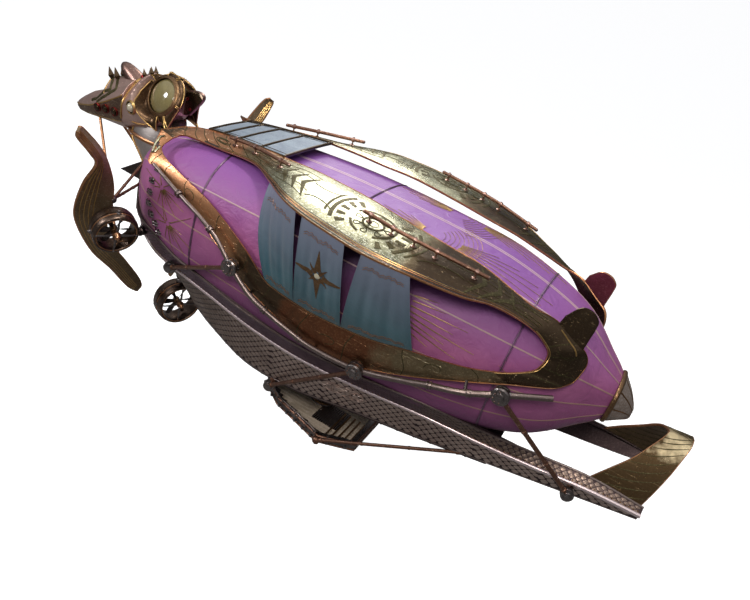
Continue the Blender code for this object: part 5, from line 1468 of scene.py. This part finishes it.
def makeHornsAndCrest():
    horn = [
        (0.0, 0.42), (0.06, 0.44), (0.1, 0.4), (0.35, 0.385), (0.6, 0.35), (0.85, 0.3), (1.0, 0.25), (1.13, 0.17),
        (1.2, 0.09), (1.22, 0.03)]
    piece(
        "horn_cone", "pink copper", [turned((-12.95, 0, 3.02), (-1.25, 0, 0.68), horn, 32)], slot="copper",
        stands=["horn"])
    base = [(-0.02, 0.4), (0.06, 0.4), (0.06, 0.45), (0.02, 0.47), (-0.02, 0.45)]
    piece("horn_collar", "gold line", [hoopOf((-12.95, 0, 3.02), (-1.25, 0, 0.68), base, 32)])
    spikes = []
    for x, degrees, size in ((-12.62, 68, 0.34), (-12.3, 74, 0.34)):
        spot, up = onHead(array([x]), degrees)
        lean = unit(up[0] * 0.6 + array((-0.45, 0, 0.85)))
        spikes.append(
            turned(spot[0] - lean * 0.05, lean, [(0, 0.1), (0.1, 0.13), (size * 0.6, 0.07), (size, 0.012)], 4))
    for x in (-14.2, -13.86):
        path, _ = onSnout((x, x + 0.06), (1.1, 1.1))
        lean = unit(array((-0.4, 0.05, 0.85)))
        spikes.append(turned(path[0], lean, [(-0.06, 0.07), (0.12, 0.17), (0.28, 0.1), (0.48, 0.012)], 4))
    piece("brow_spikes", "dark umber", twice(spikes), sharp=20)
    piece("crest_plate", "dark umber", [cadShape("crest")], stands=["crest"], sharp=25, bevel=0.03)
    studs = []
    for x, z in ((-10.35, 3.4), (-10.15, 3.02), (-10.62, 2.8)):
        studs.append(turned((x, 0.07, z), (0, 1, 0), [(0, 0.07), (0.03, 0.065), (0.05, 0.03)], 14))
    piece("crest_studs", "red jewel", twice(studs))
    edge = array([(-10.9, 0, 3.47), (-9.95, 0, 3.84), (-9.6, 0, 3.62), (-10.15, 0, 2.76)])
    piece("crest_edge", "pink copper", [bars(smoothRows(edge, 8), (0, 1, 0), 0.03, 0.1)])
    piece(
        "throat_spike_plate", "dark iron", [cadShape("throat_spike")], stands=["throat_spike"], sharp=25,
        bevel=0.03)


def makeNeck():
    piece("neck_core", "dark iron", [cadShape("neck")], stands=["neck"], sharp=30, bevel=0.02)
    rows = smoothRows(
        [(-11.4, 2.3, 1.12, 0.46), (-11.58, 1.2, 1.38, 0.82), (-11.1, 0.3, 1.0, 0.9), (-10.6, -0.5, 0.6, 0.9)], 8)
    angle = radians(arange(0, 360, 5))
    rings = [
        stack([x + (length + 0.03) * cos(angle), (width + 0.03) * sin(angle), full(len(angle), z)], axis=1)
        for x, z, length, width in rows[3:23]
    ]
    piece("neck_plate", "polished steel", [skin(rings)])
    lines = []
    for share in (128, 160, 200, 232):
        a = radians(share)
        path = stack(
            [rows[4:22, 0] + (rows[4:22, 2] + 0.06) * cos(a), (rows[4:22, 3] + 0.06) * sin(a), rows[4:22, 1]],
            axis=1)
        out = unit(path - stack([rows[4:22, 0], 0 * rows[4:22, 0], rows[4:22, 1]], axis=1))
        lines.append(bars(path, out, 0.03, 0.03))
    piece("neck_straps", "gold line", lines)
    collar = []
    for z, x, length, width in ((0.02, -10.95, 1.02, 0.98), (1.18, -11.58, 1.46, 0.9)):
        path = stack([x + length * cos(angle), width * sin(angle), full(len(angle), z)], axis=1)
        path = vstack([path, path[:1]])
        collar.append(bars(path, (0, 0, 1), 0.06, 0.08))
    piece("neck_collars", "warm copper", collar)


# The jaw's copper is a darker copy of the snout's: painted shade on the snout's side plane.
paint["jaw"] = coated(
    "jaw", wornMetal,
    dict(metals["copper brown"], Base=(0.2, 0.125, 0.085), Tarnish=(0.08, 0.05, 0.035), Rough=0.3), bump=0.005,
    Metallic=0.9)
paint["snout"] = coated(
    "snout", wornMetal,
    dict(
        metals["pink copper"], Base=(0.6, 0.41, 0.35), Tarnish=(0.28, 0.17, 0.145), Bright=(0.9, 0.68, 0.58),
        Speckle=0.2, Rough=0.3),
    bump=0.005, Metallic=0.8)
makeHead()
print("figurehead made")


# Wings, stays, chin rods.

wing = {"rows": [
    (-10.1, 6.15, 2.86, -10.2, 5.97, 2.98), (-10.09, 6.1, 2.62, -10.35, 5.66, 2.8), (
        -10.02, 5.5, 1.95, -10.42, 4.72, 1.93),
    (-10.2, 5.02, 1.38, -10.45, 4.15, 1.15), (-10.6, 5.12, 0.48, -10.4, 3.78, 0.25), (
        -10.88, 5.14, -0.7, -10.32, 3.78, -0.6),
    (-10.9, 4.85, -1.6, -10.5, 3.75, -1.55), (
        -10.82, 4.05, -2.9, -10.6, 3.25, -2.65), (-10.75, 2.95, -4.05, -10.6, 2.35, -3.7),
    (-10.7, 1.85, -5.3, -10.6, 1.35, -4.9), (-10.66, 1.3, -5.75, -10.6, 0.98, -5.5), (
        -10.64, 1.12, -5.84, -10.62, 1.02, -5.72),
]}


def makeWings():
    table = smoothRows(wing["rows"], 8)
    t = linspace(0, 1, 25)[:, None]
    grid = table[:, None, :3] * (1 - t) + table[:, None, 3:] * t
    normals = normalsOf(grid)
    flutes = 0.012 * sin(clip(t[:, 0] - 0.06, 0, 0.5) / 0.5 * pi * 8)
    fade = interp(linspace(0, 1, len(grid)), [0, 0.15, 0.85, 1], [0, 1, 1, 0])
    face = grid + normals * (fade[:, None] * flutes)[..., None]
    pair("wing_{}_blade", "wing", [slab(face, grid - normals * 0.1)], slot="bronze", stands=["wing_{}"], sharp=60)
    rims = [bars(grid[:, k] - normals[:, k] * 0.05, normals[:, k], 0.035, 0.065, 8) for k in (0, -1)]
    pair("wing_{}_rims", "warm copper", rims)
    lines = []
    for k in (3, 6, 9, 12):
        along = slice(6, 78)
        for back in (0.008, -0.105):
            path = grid[along, k] + normals[along, k] * back
            lines.append(bars(path, normals[along, k], 0.014, 0.016, 6))
    for row in range(22, 56, 3):
        path = grid[row, 14:24] + normals[row, 14:24] * 0.004
        lines.append(bars(path, normals[row, 14:24], 0.012, 0.012, 6))
    pair("wing_{}_lines", "gold line", lines)
    hub = (-10.33, 3.72, -0.42)
    ball = [
        turned(hub, (0, 0, 1), [(d * 0.95, r * 0.95) for d, r in ballProfile], 24),
        hoopOf(hub, (1, 0, 0), [(-0.03, 0.15), (0.03, 0.15), (0.02, 0.18), (-0.02, 0.18)], 24)]
    stays = []
    for foot in ((-10.95, 1.4, 0.6), (-10.95, 1.4, -0.4)):
        stays += rodShape(hub, foot, 0.06)
    pair("wing_stay_{}_ball", "gun steel", ball)
    pair("wing_stay_{}_rods", "strut", stays, stands=["wing_stay_{}"])
    end = (grid - normals * 0.05)[64, 16]
    pair("chin_rod_{}_bar", "warm copper", rodShape((-14.62, 0.42, 1.2), end, 0.062), stands=["chin_rod_{}"])


paint["wing"] = coated(
    "wing", wornMetal, dict(metals["brown bronze"], Base=(0.3, 0.21, 0.12), Bright=(0.6, 0.5, 0.36)), bump=0.006,
    Metallic=0.85)
makeWings()
print("wings made")


# Ducted fans.

fans = {
    "port": ((-9.5, -4.38, -1.2), (0.86, -0.47, -0.2), 0.98, (-9.7, -2.2, -1.85)),
    "starboard": ((-9.5, 4.38, -1.2), (0.86, 0.47, -0.2), 0.98, (-9.7, 2.2, -1.85)),
    "belly": ((-9.13, 0.0, -6.05), (0.89, -0.45, 0.0), 1.14, None),
}


# Duct lip and walls: a closed section with rounded lips, in the duct's own (distance, radius).
def ductSection(size):
    half, outer, inner = 0.4 * size, 0.92 * size, 0.76 * size
    front = [(half - 0.05 + 0.05 * cos(a), inner + 0.07 + 0.07 * sin(a)) for a in linspace(-1.57, 1.2, 7)]
    back = [(-half + 0.05 - 0.05 * cos(a), inner + 0.06 + 0.06 * sin(a)) for a in linspace(1.2, -1.57, 7)]
    top = [
        (half - 0.14, outer - 0.01), (half - 0.22, outer), (0.1, outer), (0.09, outer - 0.025),
        (0.02, outer - 0.025), (0.01, outer), (-half + 0.22, outer), (-half + 0.14, outer - 0.01)]
    return front + top + back


def makeFan(name, centre, direction, size, armEnd):
    body = "belly_fan" if name == "belly" else "hull"
    centre = array(centre, float)
    forward, aside, upward = axesOf(direction)
    outer, inner = 0.92 * size, 0.76 * size
    piece(
        f"duct_{name}_shell", "duct", [hoopOf(centre, forward, ductSection(size), 72)], body, "dark_bronze",
        [f"duct_{name}"])
    bands = []
    for at, radius, thick in (
        (0.4 * size - 0.1, outer - 0.06, 0.05), (-0.4 * size + 0.12, outer - 0.05, 0.04), (0.14, outer, 0.022)):
        bands.append(
            hoopOf(
                centre + forward * at, forward,
                [
                    (-0.022, radius - 0.02), (0.022, radius - 0.02), (0.018, radius + thick * 0.6),
                    (-0.018, radius + thick * 0.6)],
                72)
        )
    bands.append(
        hoopOf(
            centre + forward * 0.4 * size, forward,
            [(-0.05, inner + 0.02), (0.0, inner + 0.015), (0.0, inner + 0.04), (-0.05, inner + 0.05)], 72)
    )
    piece(f"duct_{name}_bands", "warm copper", bands, body)
    hub = centre + forward * 0.34
    arms, lugs = [], []
    for turn in range(4):
        a = pi / 2 * turn
        out = cos(a) * aside + sin(a) * upward
        s = linspace(0, 1, 14)[:, None]
        path = hub + out * (0.1 + s * (0.88 * size - 0.1)) + forward * 0.05 * sin(pi * s)
        arms.append(bars(path, forward, 0.045 + 0.015 * cos(pi * s[:, 0]), 0.035, 10))
        spot = centre + forward * 0.1 + out * outer
        lugs.append(
            turned(spot - out * 0.03, out, [(0, 0.1), (0.05, 0.1), (0.07, 0.07), (0.14, 0.055), (0.16, 0.03)], 14)
        )
        lugs.append(
            turned(
                hub + out * 0.8 * size + forward * 0.02, forward, [(-0.03, 0.05), (0.05, 0.05), (0.07, 0.03)], 12)
        )
    piece(f"duct_{name}_arms", "gun steel", arms, body)
    piece(f"duct_{name}_lugs", "gun steel", lugs, body)
    nose = [
        (-0.14, 0.12), (-0.12, 0.135), (0.0, 0.155), (0.03, 0.17), (0.06, 0.165), (0.08, 0.145), (0.16, 0.13),
        (0.22, 0.1), (0.27, 0.06), (0.285, 0.02)]
    piece(f"duct_{name}_hub", "copper brown", [turned(hub, forward, nose, 32)], body)
    piece(
        f"duct_{name}_shaft", "silver pipe",
        [turned(hub - forward * 0.4, forward, [(0, 0.057), (0.01, 0.0595), (0.3, 0.0595)], 24)], body)
    makeRotor(name, centre, forward, aside, upward, size)
    if armEnd is not None:
        sideways = array(armEnd) - centre
        sideways -= forward * (sideways @ forward)
        near = centre + sideways * (inner + outer) / 2 / np.linalg.norm(sideways)
        reach = np.linalg.norm(array(armEnd) - near)
        arm = [
            (0.06, 0.1), (0.08, 0.17), (0.16, 0.17), (0.18, 0.125), (reach * 0.5, 0.135),
            (reach * 0.5 + 0.02, 0.17), (reach * 0.5 + 0.1, 0.17), (reach * 0.5 + 0.12, 0.16),
            (reach * 0.85, 0.24), (reach, 0.31), (reach + 0.1, 0.32)]
        piece(f"duct_{name}_outrigger", "dark iron", [turned(near, array(armEnd) - near, arm, 28)])
    else:
        top = centre + (0, 0, outer - 0.12)
        swivel = [(0.06, 0.16), (0.12, 0.17), (0.15, 0.198), (0.3, 0.198), (0.318, 0.18)]
        piece("belly_swivel", "gun steel", [turned(top, (0, 0, 1), swivel, 32)], body)
        foot = top + (0, 0, 0.3203)
        pylon = [
            (0.0, 0.198), (0.08, 0.21), (0.1, 0.25), (0.18, 0.25), (0.2, 0.225), (0.6, 0.25), (1.0, 0.29),
            (1.05, 0.3)]
        piece("belly_pylon", "dark iron", [turned(foot, (0, 0, 1), pylon, 32)], stands=["pylon_belly"])


# Blade P(r, c): chord way c(r) cos p + thickness way sin p, twisted from 50 to 22 degrees, lens section.
def makeRotor(name, centre, forward, aside, upward, size):
    body = f"{name}_rotor"
    middle = centre + forward * (0.34 - 0.14 - 0.0006)
    bore = 0.0625
    boss = [
        (-0.43, bore), (-0.43, 0.09), (-0.4, 0.13), (-0.34, 0.15), (-0.06, 0.15), (-0.05, 0.14), (-0.001, 0.135),
        (-0.001, bore)]
    shapes = []
    reach = 0.7 * size
    for blade in range(6):
        a = 2 * pi * blade / 6
        out = cos(a) * aside + sin(a) * upward
        along = cross(forward, out)
        rings = []
        for s in linspace(0, 1, 12):
            radius = 0.09 + s * (reach - 0.09)
            chord = interp(s, [0, 0.3, 0.6, 0.9, 1.0], [0.13, 0.2, 0.24, 0.2, 0.1])
            lean = radians(interp(s, [0, 0.5, 1], [50, 35, 22]))
            way = cos(lean) * along + sin(lean) * forward
            thick = -sin(lean) * along + cos(lean) * forward
            c = radians(arange(0, 360, 36))[:, None]
            rings.append(
                middle - forward * 0.215 + out * radius + way * chord / 2 * cos(c) + thick * 0.014 * sin(c))
        shapes.append(skin(rings))
    piece(f"rotor_{name}_blades", "dark iron", shapes, body, "dark_bronze", [f"rotor_{name}"])
    piece(f"rotor_{name}_boss", "brown bronze", [hoopOf(middle, forward, boss, 32)], body)


paint["duct"] = coated(
    "duct", wornMetal, dict(metals["dark iron"], Base=(0.15, 0.1, 0.075), Bright=(0.5, 0.36, 0.26), Rough=0.23),
    bump=0.004, Metallic=1.0)
for fanName, values in fans.items():
    makeFan(fanName, *values)
print("fans made")


# Under-deck.

underDeck = {"outline": [(-3.0, 0.88), (-1.9, 1.72), (0.6, 2.5), (2.05, 1.8)], "top": -6.62}


def makeUnderDeck():
    piece(
        "under_deck_tray", "gun steel", [cadShape("under_deck")], slot="scale_plate", stands=["under_deck"],
        sharp=25, bevel=0.02)
    outline = underDeck["outline"]
    ring = array(outline + [(x, -y) for x, y in reversed(outline)])
    middle = array([sum(x for x, _ in outline) / 4, 0.0])
    planks = []
    inner = middle + (ring - middle) * 0.885
    limits = inner[:4]
    for y in arange(-2.1, 2.2, 0.21):
        edge = abs(y) + 0.09
        if edge > limits[:, 1].max():
            continue
        front = interp(edge, limits[:3, 1], limits[:3, 0]) if edge > limits[0, 1] else limits[0, 0]
        rear = interp(
            edge, [limits[3, 1], limits[2, 1]], [limits[3, 0], limits[2, 0]]
        ) if edge > limits[3, 1] else limits[3, 0]
        if rear - front < 0.3:
            continue
        xs = linspace(front + 0.03, rear - 0.03, 8)
        ys = array([y - 0.095, y - 0.088, y + 0.088, y + 0.095])
        rise = array([0.0, 0.03, 0.03, 0.0])
        grid = stack([stack([full(4, x), ys, -6.775 + rise], axis=1) for x in xs])
        planks.append(slab(grid, grid - (0, 0, 0.004)))
    piece("under_deck_planks", "wood", planks)
    rim = vstack([ring, ring[:1]])
    path = array([(x, y, underDeck["top"] + 0.01) for x, y in rim])
    dense = vstack([linspace(a, b, 8)[:-1] for a, b in zip(path[:-1], path[1:])] + [path[-1:]])
    lowRim = dense - (0, 0, 0.3)
    piece(
        "under_deck_rims", "strut", [bars(dense, (0, 0, 1), 0.055, 0.05, 8), bars(lowRim, (0, 0, 1), 0.05, 0.045)]
    )
    tread = stack(
        [
            stack([full(12, x), linspace(-1.5, -0.1, 12), full(12, -6.735)], axis=1)
            for x in linspace(-0.3, 0.95, 10)
        ]
    )
    piece("tread_panels", "gun steel", twice([slab(tread, tread - (0, 0, 0.04))]))
    spots = [(x, y, -6.735) for x in arange(-0.25, 0.93, 0.1) for y in arange(-1.45, -0.12, 0.1)]
    spots += [(x, -y, z) for x, y, z in spots]
    stud = turned((0, 0, -0.01), (0, 0, 1), [(0, 0.04), (0.02, 0.03), (0.026, 0.012)], 6)
    piece("tread_studs", "silver pipe", [scattered(stud, spots, (1, 0, 0), (0, 0, 1), 0.8)])
    fittings, rails, slats = [], [], []
    for (x0, y0), (x1, y1), shares in (
        ((-3.0, 0.88), (-1.9, 1.72), (0.05, 0.35, 0.7)), ((-1.9, 1.72), (0.6, 2.5), (0.1, 0.3, 0.5, 0.7, 0.9)),
        ((0.6, 2.5), (2.05, 1.8), (0.25, 0.75))):
        for share in shares:
            x, y = x0 + (x1 - x0) * share, (y0 + (y1 - y0) * share)
            out = unit(array([-(y1 - y0), (x1 - x0), 0.0]))
            base = array([x, y, -6.74])
            fittings.append(
                turned(
                    base - out * 0.02, out,
                    [
                        (0, 0.09), (0.06, 0.09), (0.08, 0.06), (0.16, 0.055), (0.17, 0.075), (0.21, 0.075),
                        (0.22, 0.04)],
                    14)
            )
            fittings.append(
                turned(
                    base + (0, 0, 0.12), (0, 0, 1),
                    [(-0.05, 0.05), (0.1, 0.05), (0.12, 0.07), (0.16, 0.07), (0.18, 0.03)], 12)
            )
    posts = [(-2.9, 0.86), (-1.95, 1.66), (-0.8, 2.02), (0.45, 2.42)]
    path = smoothRows([(x, (y + 0.1), -6.42) for x, y in posts], 8)
    rails.append(bars(path, (0, 0, 1), 0.03, 0.03, 10))
    for x, y in posts:
        rails.append(
            turned(
                (x, (y + 0.1), -6.66), (0, 0, 1),
                [(0, 0.04), (0.03, 0.03), (0.22, 0.03), (0.24, 0.05), (0.28, 0.03)], 12)
        )
    for k in range(5):
        x = 0.75 + 0.25 * k
        y = interp(x, [0.6, 2.05], [2.2, 1.55])
        slats.append(bars(array([(x, 0.25, -6.7), (x, 0.8, -6.7), (x, (y - 0.1), -6.7)]), (0, 0, 1), 0.045, 0.03))
    piece("under_deck_fittings", "gun steel", twice(fittings))
    piece("under_deck_rail", "silver pipe", twice(rails))
    piece("under_deck_slats", "brown bronze", twice(slats))
    collar = [
        hoopOf((-0.55, 0, z), (0, 0, 1), [(-0.05, 0.5), (0.05, 0.5), (0.04, r), (-0.04, r)], 32)
        for z, r in ((-6.6, 0.62), (-6.25, 0.6), (-5.75, 0.6))
    ]
    piece("deck_pylon_collars", "brown bronze", collar)


makeUnderDeck()
print("under-deck made")


# Drapes.

drapes = {
    "panels": [(-3.52, -1.73, -2.6, -1.32), (-1.39, 0.37, -1.28, 0.66), (1.04, 2.66, 0.7, 3.38)],
    "folds": 0.035,
}
frameMiddle = wholeFrame[:, -1] - wholeNormals[:, -1] * 0.035
cowlEdge = frameMiddle[: cowlRows + 1]
bandEdge = frameMiddle[turnRows:][::-1]


def onEdge(edge, x):
    return stack([x, interp(x, edge[:, 0], edge[:, 1]), interp(x, edge[:, 0], edge[:, 2])], axis=-1)


# Drape P(u, v): from the upper edge at v = 0 to the lower edge at v = 1, bowed out by 0.1 * 4 v (1 - v),
# with folds 0.035 (sin(5 pi u + 0.6) + sin(10.4 pi u + 2) / 2) that die out at both edges.
def drapeGrid(panel, columns=49, rows=41):
    topFront, topRear, footFront, footRear = panel
    u, v = linspace(0, 1, columns), linspace(0, 1, rows)
    top = onEdge(cowlEdge, topFront + (topRear - topFront) * u)
    foot = onEdge(bandEdge, footFront + (footRear - footFront) * u)
    grid = top[:, None] * (1 - v[:, None]) + foot[:, None] * v[:, None]
    grid[:, :, 1] += 0.1 * 4 * v * (1 - v)
    across = sin(2 * pi * 2.5 * u + 0.6)[:, None] + 0.5 * sin(2 * pi * 5.2 * u + 2.0)[:, None]
    grid[:, :, 1] += drapes["folds"] * across * sin(pi * v) * (0.4 + 0.6 * v)
    if panel == drapes["panels"][0]:
        grid[:, :, 0] -= 0.3 * 4 * v * (1 - v) * ((1 - u) ** 1.5)[:, None]
    return grid


def makeDrapes():
    for number, panel in enumerate(drapes["panels"], 1):
        grid = drapeGrid(panel)
        width = np.linalg.norm(diff(grid, axis=0), axis=2).sum(axis=0)
        height = np.linalg.norm(diff(grid, axis=1), axis=2).sum(axis=1)
        du = diff(grid, axis=0)[:, :-1]
        dv = diff(grid, axis=1)[:-1]
        area = float(np.linalg.norm(cross(du, dv), axis=2).sum())
        made = piece(
            f"drape_{number}_cloth", "drape", [slab(mirrored(grid, -1), mirrored(grid - (0, 0.006, 0), -1))],
            slot="drape_cloth", stands=[f"drape_{number}_port"])
        hems = [bars(mirrored(grid[k] + (0, 0.004, 0), -1), (0, -1, 0), 0.016, 0.008, 6) for k in (0, -1)]
        piece(f"drape_{number}_hems", "drape", hems)
        edges = []
        u = linspace(0.1, 0.9, 64)
        for level, rise in ((0.1, 0.022), (0.9, 0.018)):
            saw = np.abs((u * 9) % 1 - 0.5) * 2
            v = level + rise * saw + 0.01 * sin(u * 17)
            for lift in (0.0, 0.022):
                path = onGrid(grid, u, v + lift) + (0, 0.008, 0)
                edges.append(bars(mirrored(path, -1), (0, -1, 0), 0.01, 0.004, 6))
        piece(f"drape_{number}_trim", "warm copper", edges)
    makeEmblem(drapeGrid(drapes["panels"][1]))


# Emblem on the middle drape: a compass star of eight points about a ring and a boss, laid on the cloth.
def makeEmblem(grid):
    width = np.linalg.norm(grid[-1, 20] - grid[0, 20])
    height = np.linalg.norm(grid[24, -1] - grid[24, 0])
    shapes = []
    for k in range(8):
        bearing = radians(45 * k)
        reach = 1.05 if k % 2 == 0 else 0.52
        s = linspace(0.2, 1, 16) * reach
        u = 0.5 + s * cos(bearing) / width
        v = 0.5 + s * sin(bearing) / height
        path = onGrid(grid, u, v) + (0, 0.012, 0)
        shapes.append(
            bars(mirrored(path, -1), (0, -1, 0), linspace(0.16 if k % 2 == 0 else 0.08, 0.006, 16), 0.006, 6))
    around = linspace(0, 2 * pi, 49)
    for radius in (0.2, 0.27):
        path = onGrid(
            grid, 0.5 + radius * cos(around) / width, 0.5 + radius * sin(around) / height) + (0, 0.014, 0)
        shapes.append(bars(mirrored(path, -1), (0, -1, 0), 0.022, 0.006, 6))
    piece("emblem_port", "brown bronze", shapes)
    middle = onGrid(grid, array([0.5]), array([0.5]))[0]
    boss = turned(
        mirrored(middle + (0, 0.005, 0), -1), (0, -1, 0), [(0, 0.12), (0.01, 0.11), (0.02, 0.06), (0.024, 0.02)],
        24)
    piece("emblem_boss_port", "lens", [boss])


makeDrapes()
print("drapes made")


# Floor, lights, camera.

studio = {
    "floor": -11.0, "size": 400.0, "sky": [(0.0, 0.1), (0.48, 0.14), (0.56, 0.16), (0.72, 0.3), (1.0, 0.75)],
    "lamps": [
        ("back", (-14, 26, 24), (-2, 0, 2), 15, 7000, (1.0, 0.98, 0.94)),
        ("key", (4, -26, 20), (0, 0, 0), 9, 3600, (1.0, 0.96, 0.92)),
        ("front", (-26, -20, 14), (-8, 0, 0), 6, 3200, (0.92, 0.95, 1.0)),
        ("glint", (-3, -5, 32), (0, 0, 0), 4, 3600, (1.0, 0.97, 0.93)),
    ],
}


# Floor P(x, y): flat for 60 m, then rising as 0.0012 (r - 60)^2, so that no edge of it shows.
def makeStage():
    material = bpy.data.materials.new("floor")
    material.use_nodes = True
    tree = material.node_tree
    shader = tree.nodes["Principled BSDF"]
    seen = add(tree, "ShaderNodeLightPath").outputs["Is Camera Ray"]
    tree.links.new(mixed(tree, seen, grey(0.2), grey(0.92)), shader.inputs["Base Color"])
    shader.inputs["Roughness"].default_value = 0.95
    shader.inputs["Emission Color"].default_value = grey(1.0)
    tree.links.new(maths(tree, "MULTIPLY", seen, 0.55), shader.inputs["Emission Strength"])
    steps = linspace(-1, 1, 41) ** 3 * studio["size"]
    x, y = np.meshgrid(steps, steps, indexing="ij")
    far = maximum(np.hypot(x, y) - 60, 0)
    grid = stack([x, y, studio["floor"] + 0.0012 * far**2], axis=2)
    mesh = bpy.data.meshes.new("floor")
    mesh.from_pydata(grid.reshape(-1, 3).tolist(), [], gridFaces(41, 41))
    mesh.shade_smooth()
    mesh.materials.append(material)
    floor = bpy.data.objects.new("floor", mesh)
    bpy.context.scene.collection.objects.link(floor)
    makeSky()
    for name, place, aim, size, power, colour in studio["lamps"]:
        light = bpy.data.lights.new(name, "AREA")
        light.shape, light.size, light.energy, light.color = "DISK", size, power, colour
        lamp = bpy.data.objects.new(name, light)
        bpy.context.scene.collection.objects.link(lamp)
        forward = unit(array(aim, float) - place)
        aside = unit(cross(forward, (0, 0, 1)))
        upward = cross(aside, forward)
        lamp.matrix_world = Matrix(
            [[*row, spot] for row, spot in zip(stack([aside, upward, -forward], axis=1), place)] + [[0, 0, 0, 1]])


def makeSky():
    world = bpy.data.worlds.new("studio")
    bpy.context.scene.world = world
    world.use_nodes = True
    tree = world.node_tree
    way = add(tree, "ShaderNodeTexCoord").outputs["Generated"]
    height = add(tree, "ShaderNodeSeparateXYZ", {0: way}).outputs["Z"]
    share = ramp(tree, height, -1.0, 1.0)
    bands = add(tree, "ShaderNodeValToRGB", {"Fac": share})
    for at, value in studio["sky"][1:-1]:
        bands.color_ramp.elements.new(at)
    for element, (at, value) in zip(bands.color_ramp.elements, studio["sky"]):
        element.position, element.color = at, (value, value * 1.01, value * 1.04, 1.0)
    tree.links.new(bands.outputs["Color"], tree.nodes["Background"].inputs["Color"])
    tree.nodes["Background"].inputs["Strength"].default_value = 1.0
    bpy.context.scene.view_settings.view_transform = "Standard"


photo = {
    "place": (7.891, -24.0, 12.385), "lens": 33.64, "film": 36.0,
    "right": (0.85475, 0.43289, 0.28637), "up": (-0.44446, 0.32548, 0.83458), "back": (0.26807, -0.84064, 0.4706),
}


def makeCamera():
    camera = bpy.data.cameras.new("photo")
    camera.lens, camera.sensor_width, camera.clip_end = photo["lens"], photo["film"], 2000
    axes = array([photo["right"], photo["up"], photo["back"]]).T
    eye = bpy.data.objects.new("photo", camera)
    bpy.context.scene.collection.objects.link(eye)
    eye.matrix_world = Matrix([[*row, spot] for row, spot in zip(axes, photo["place"])] + [[0, 0, 0, 1]])
    bpy.context.scene.camera = eye


makeStage()
makeCamera()
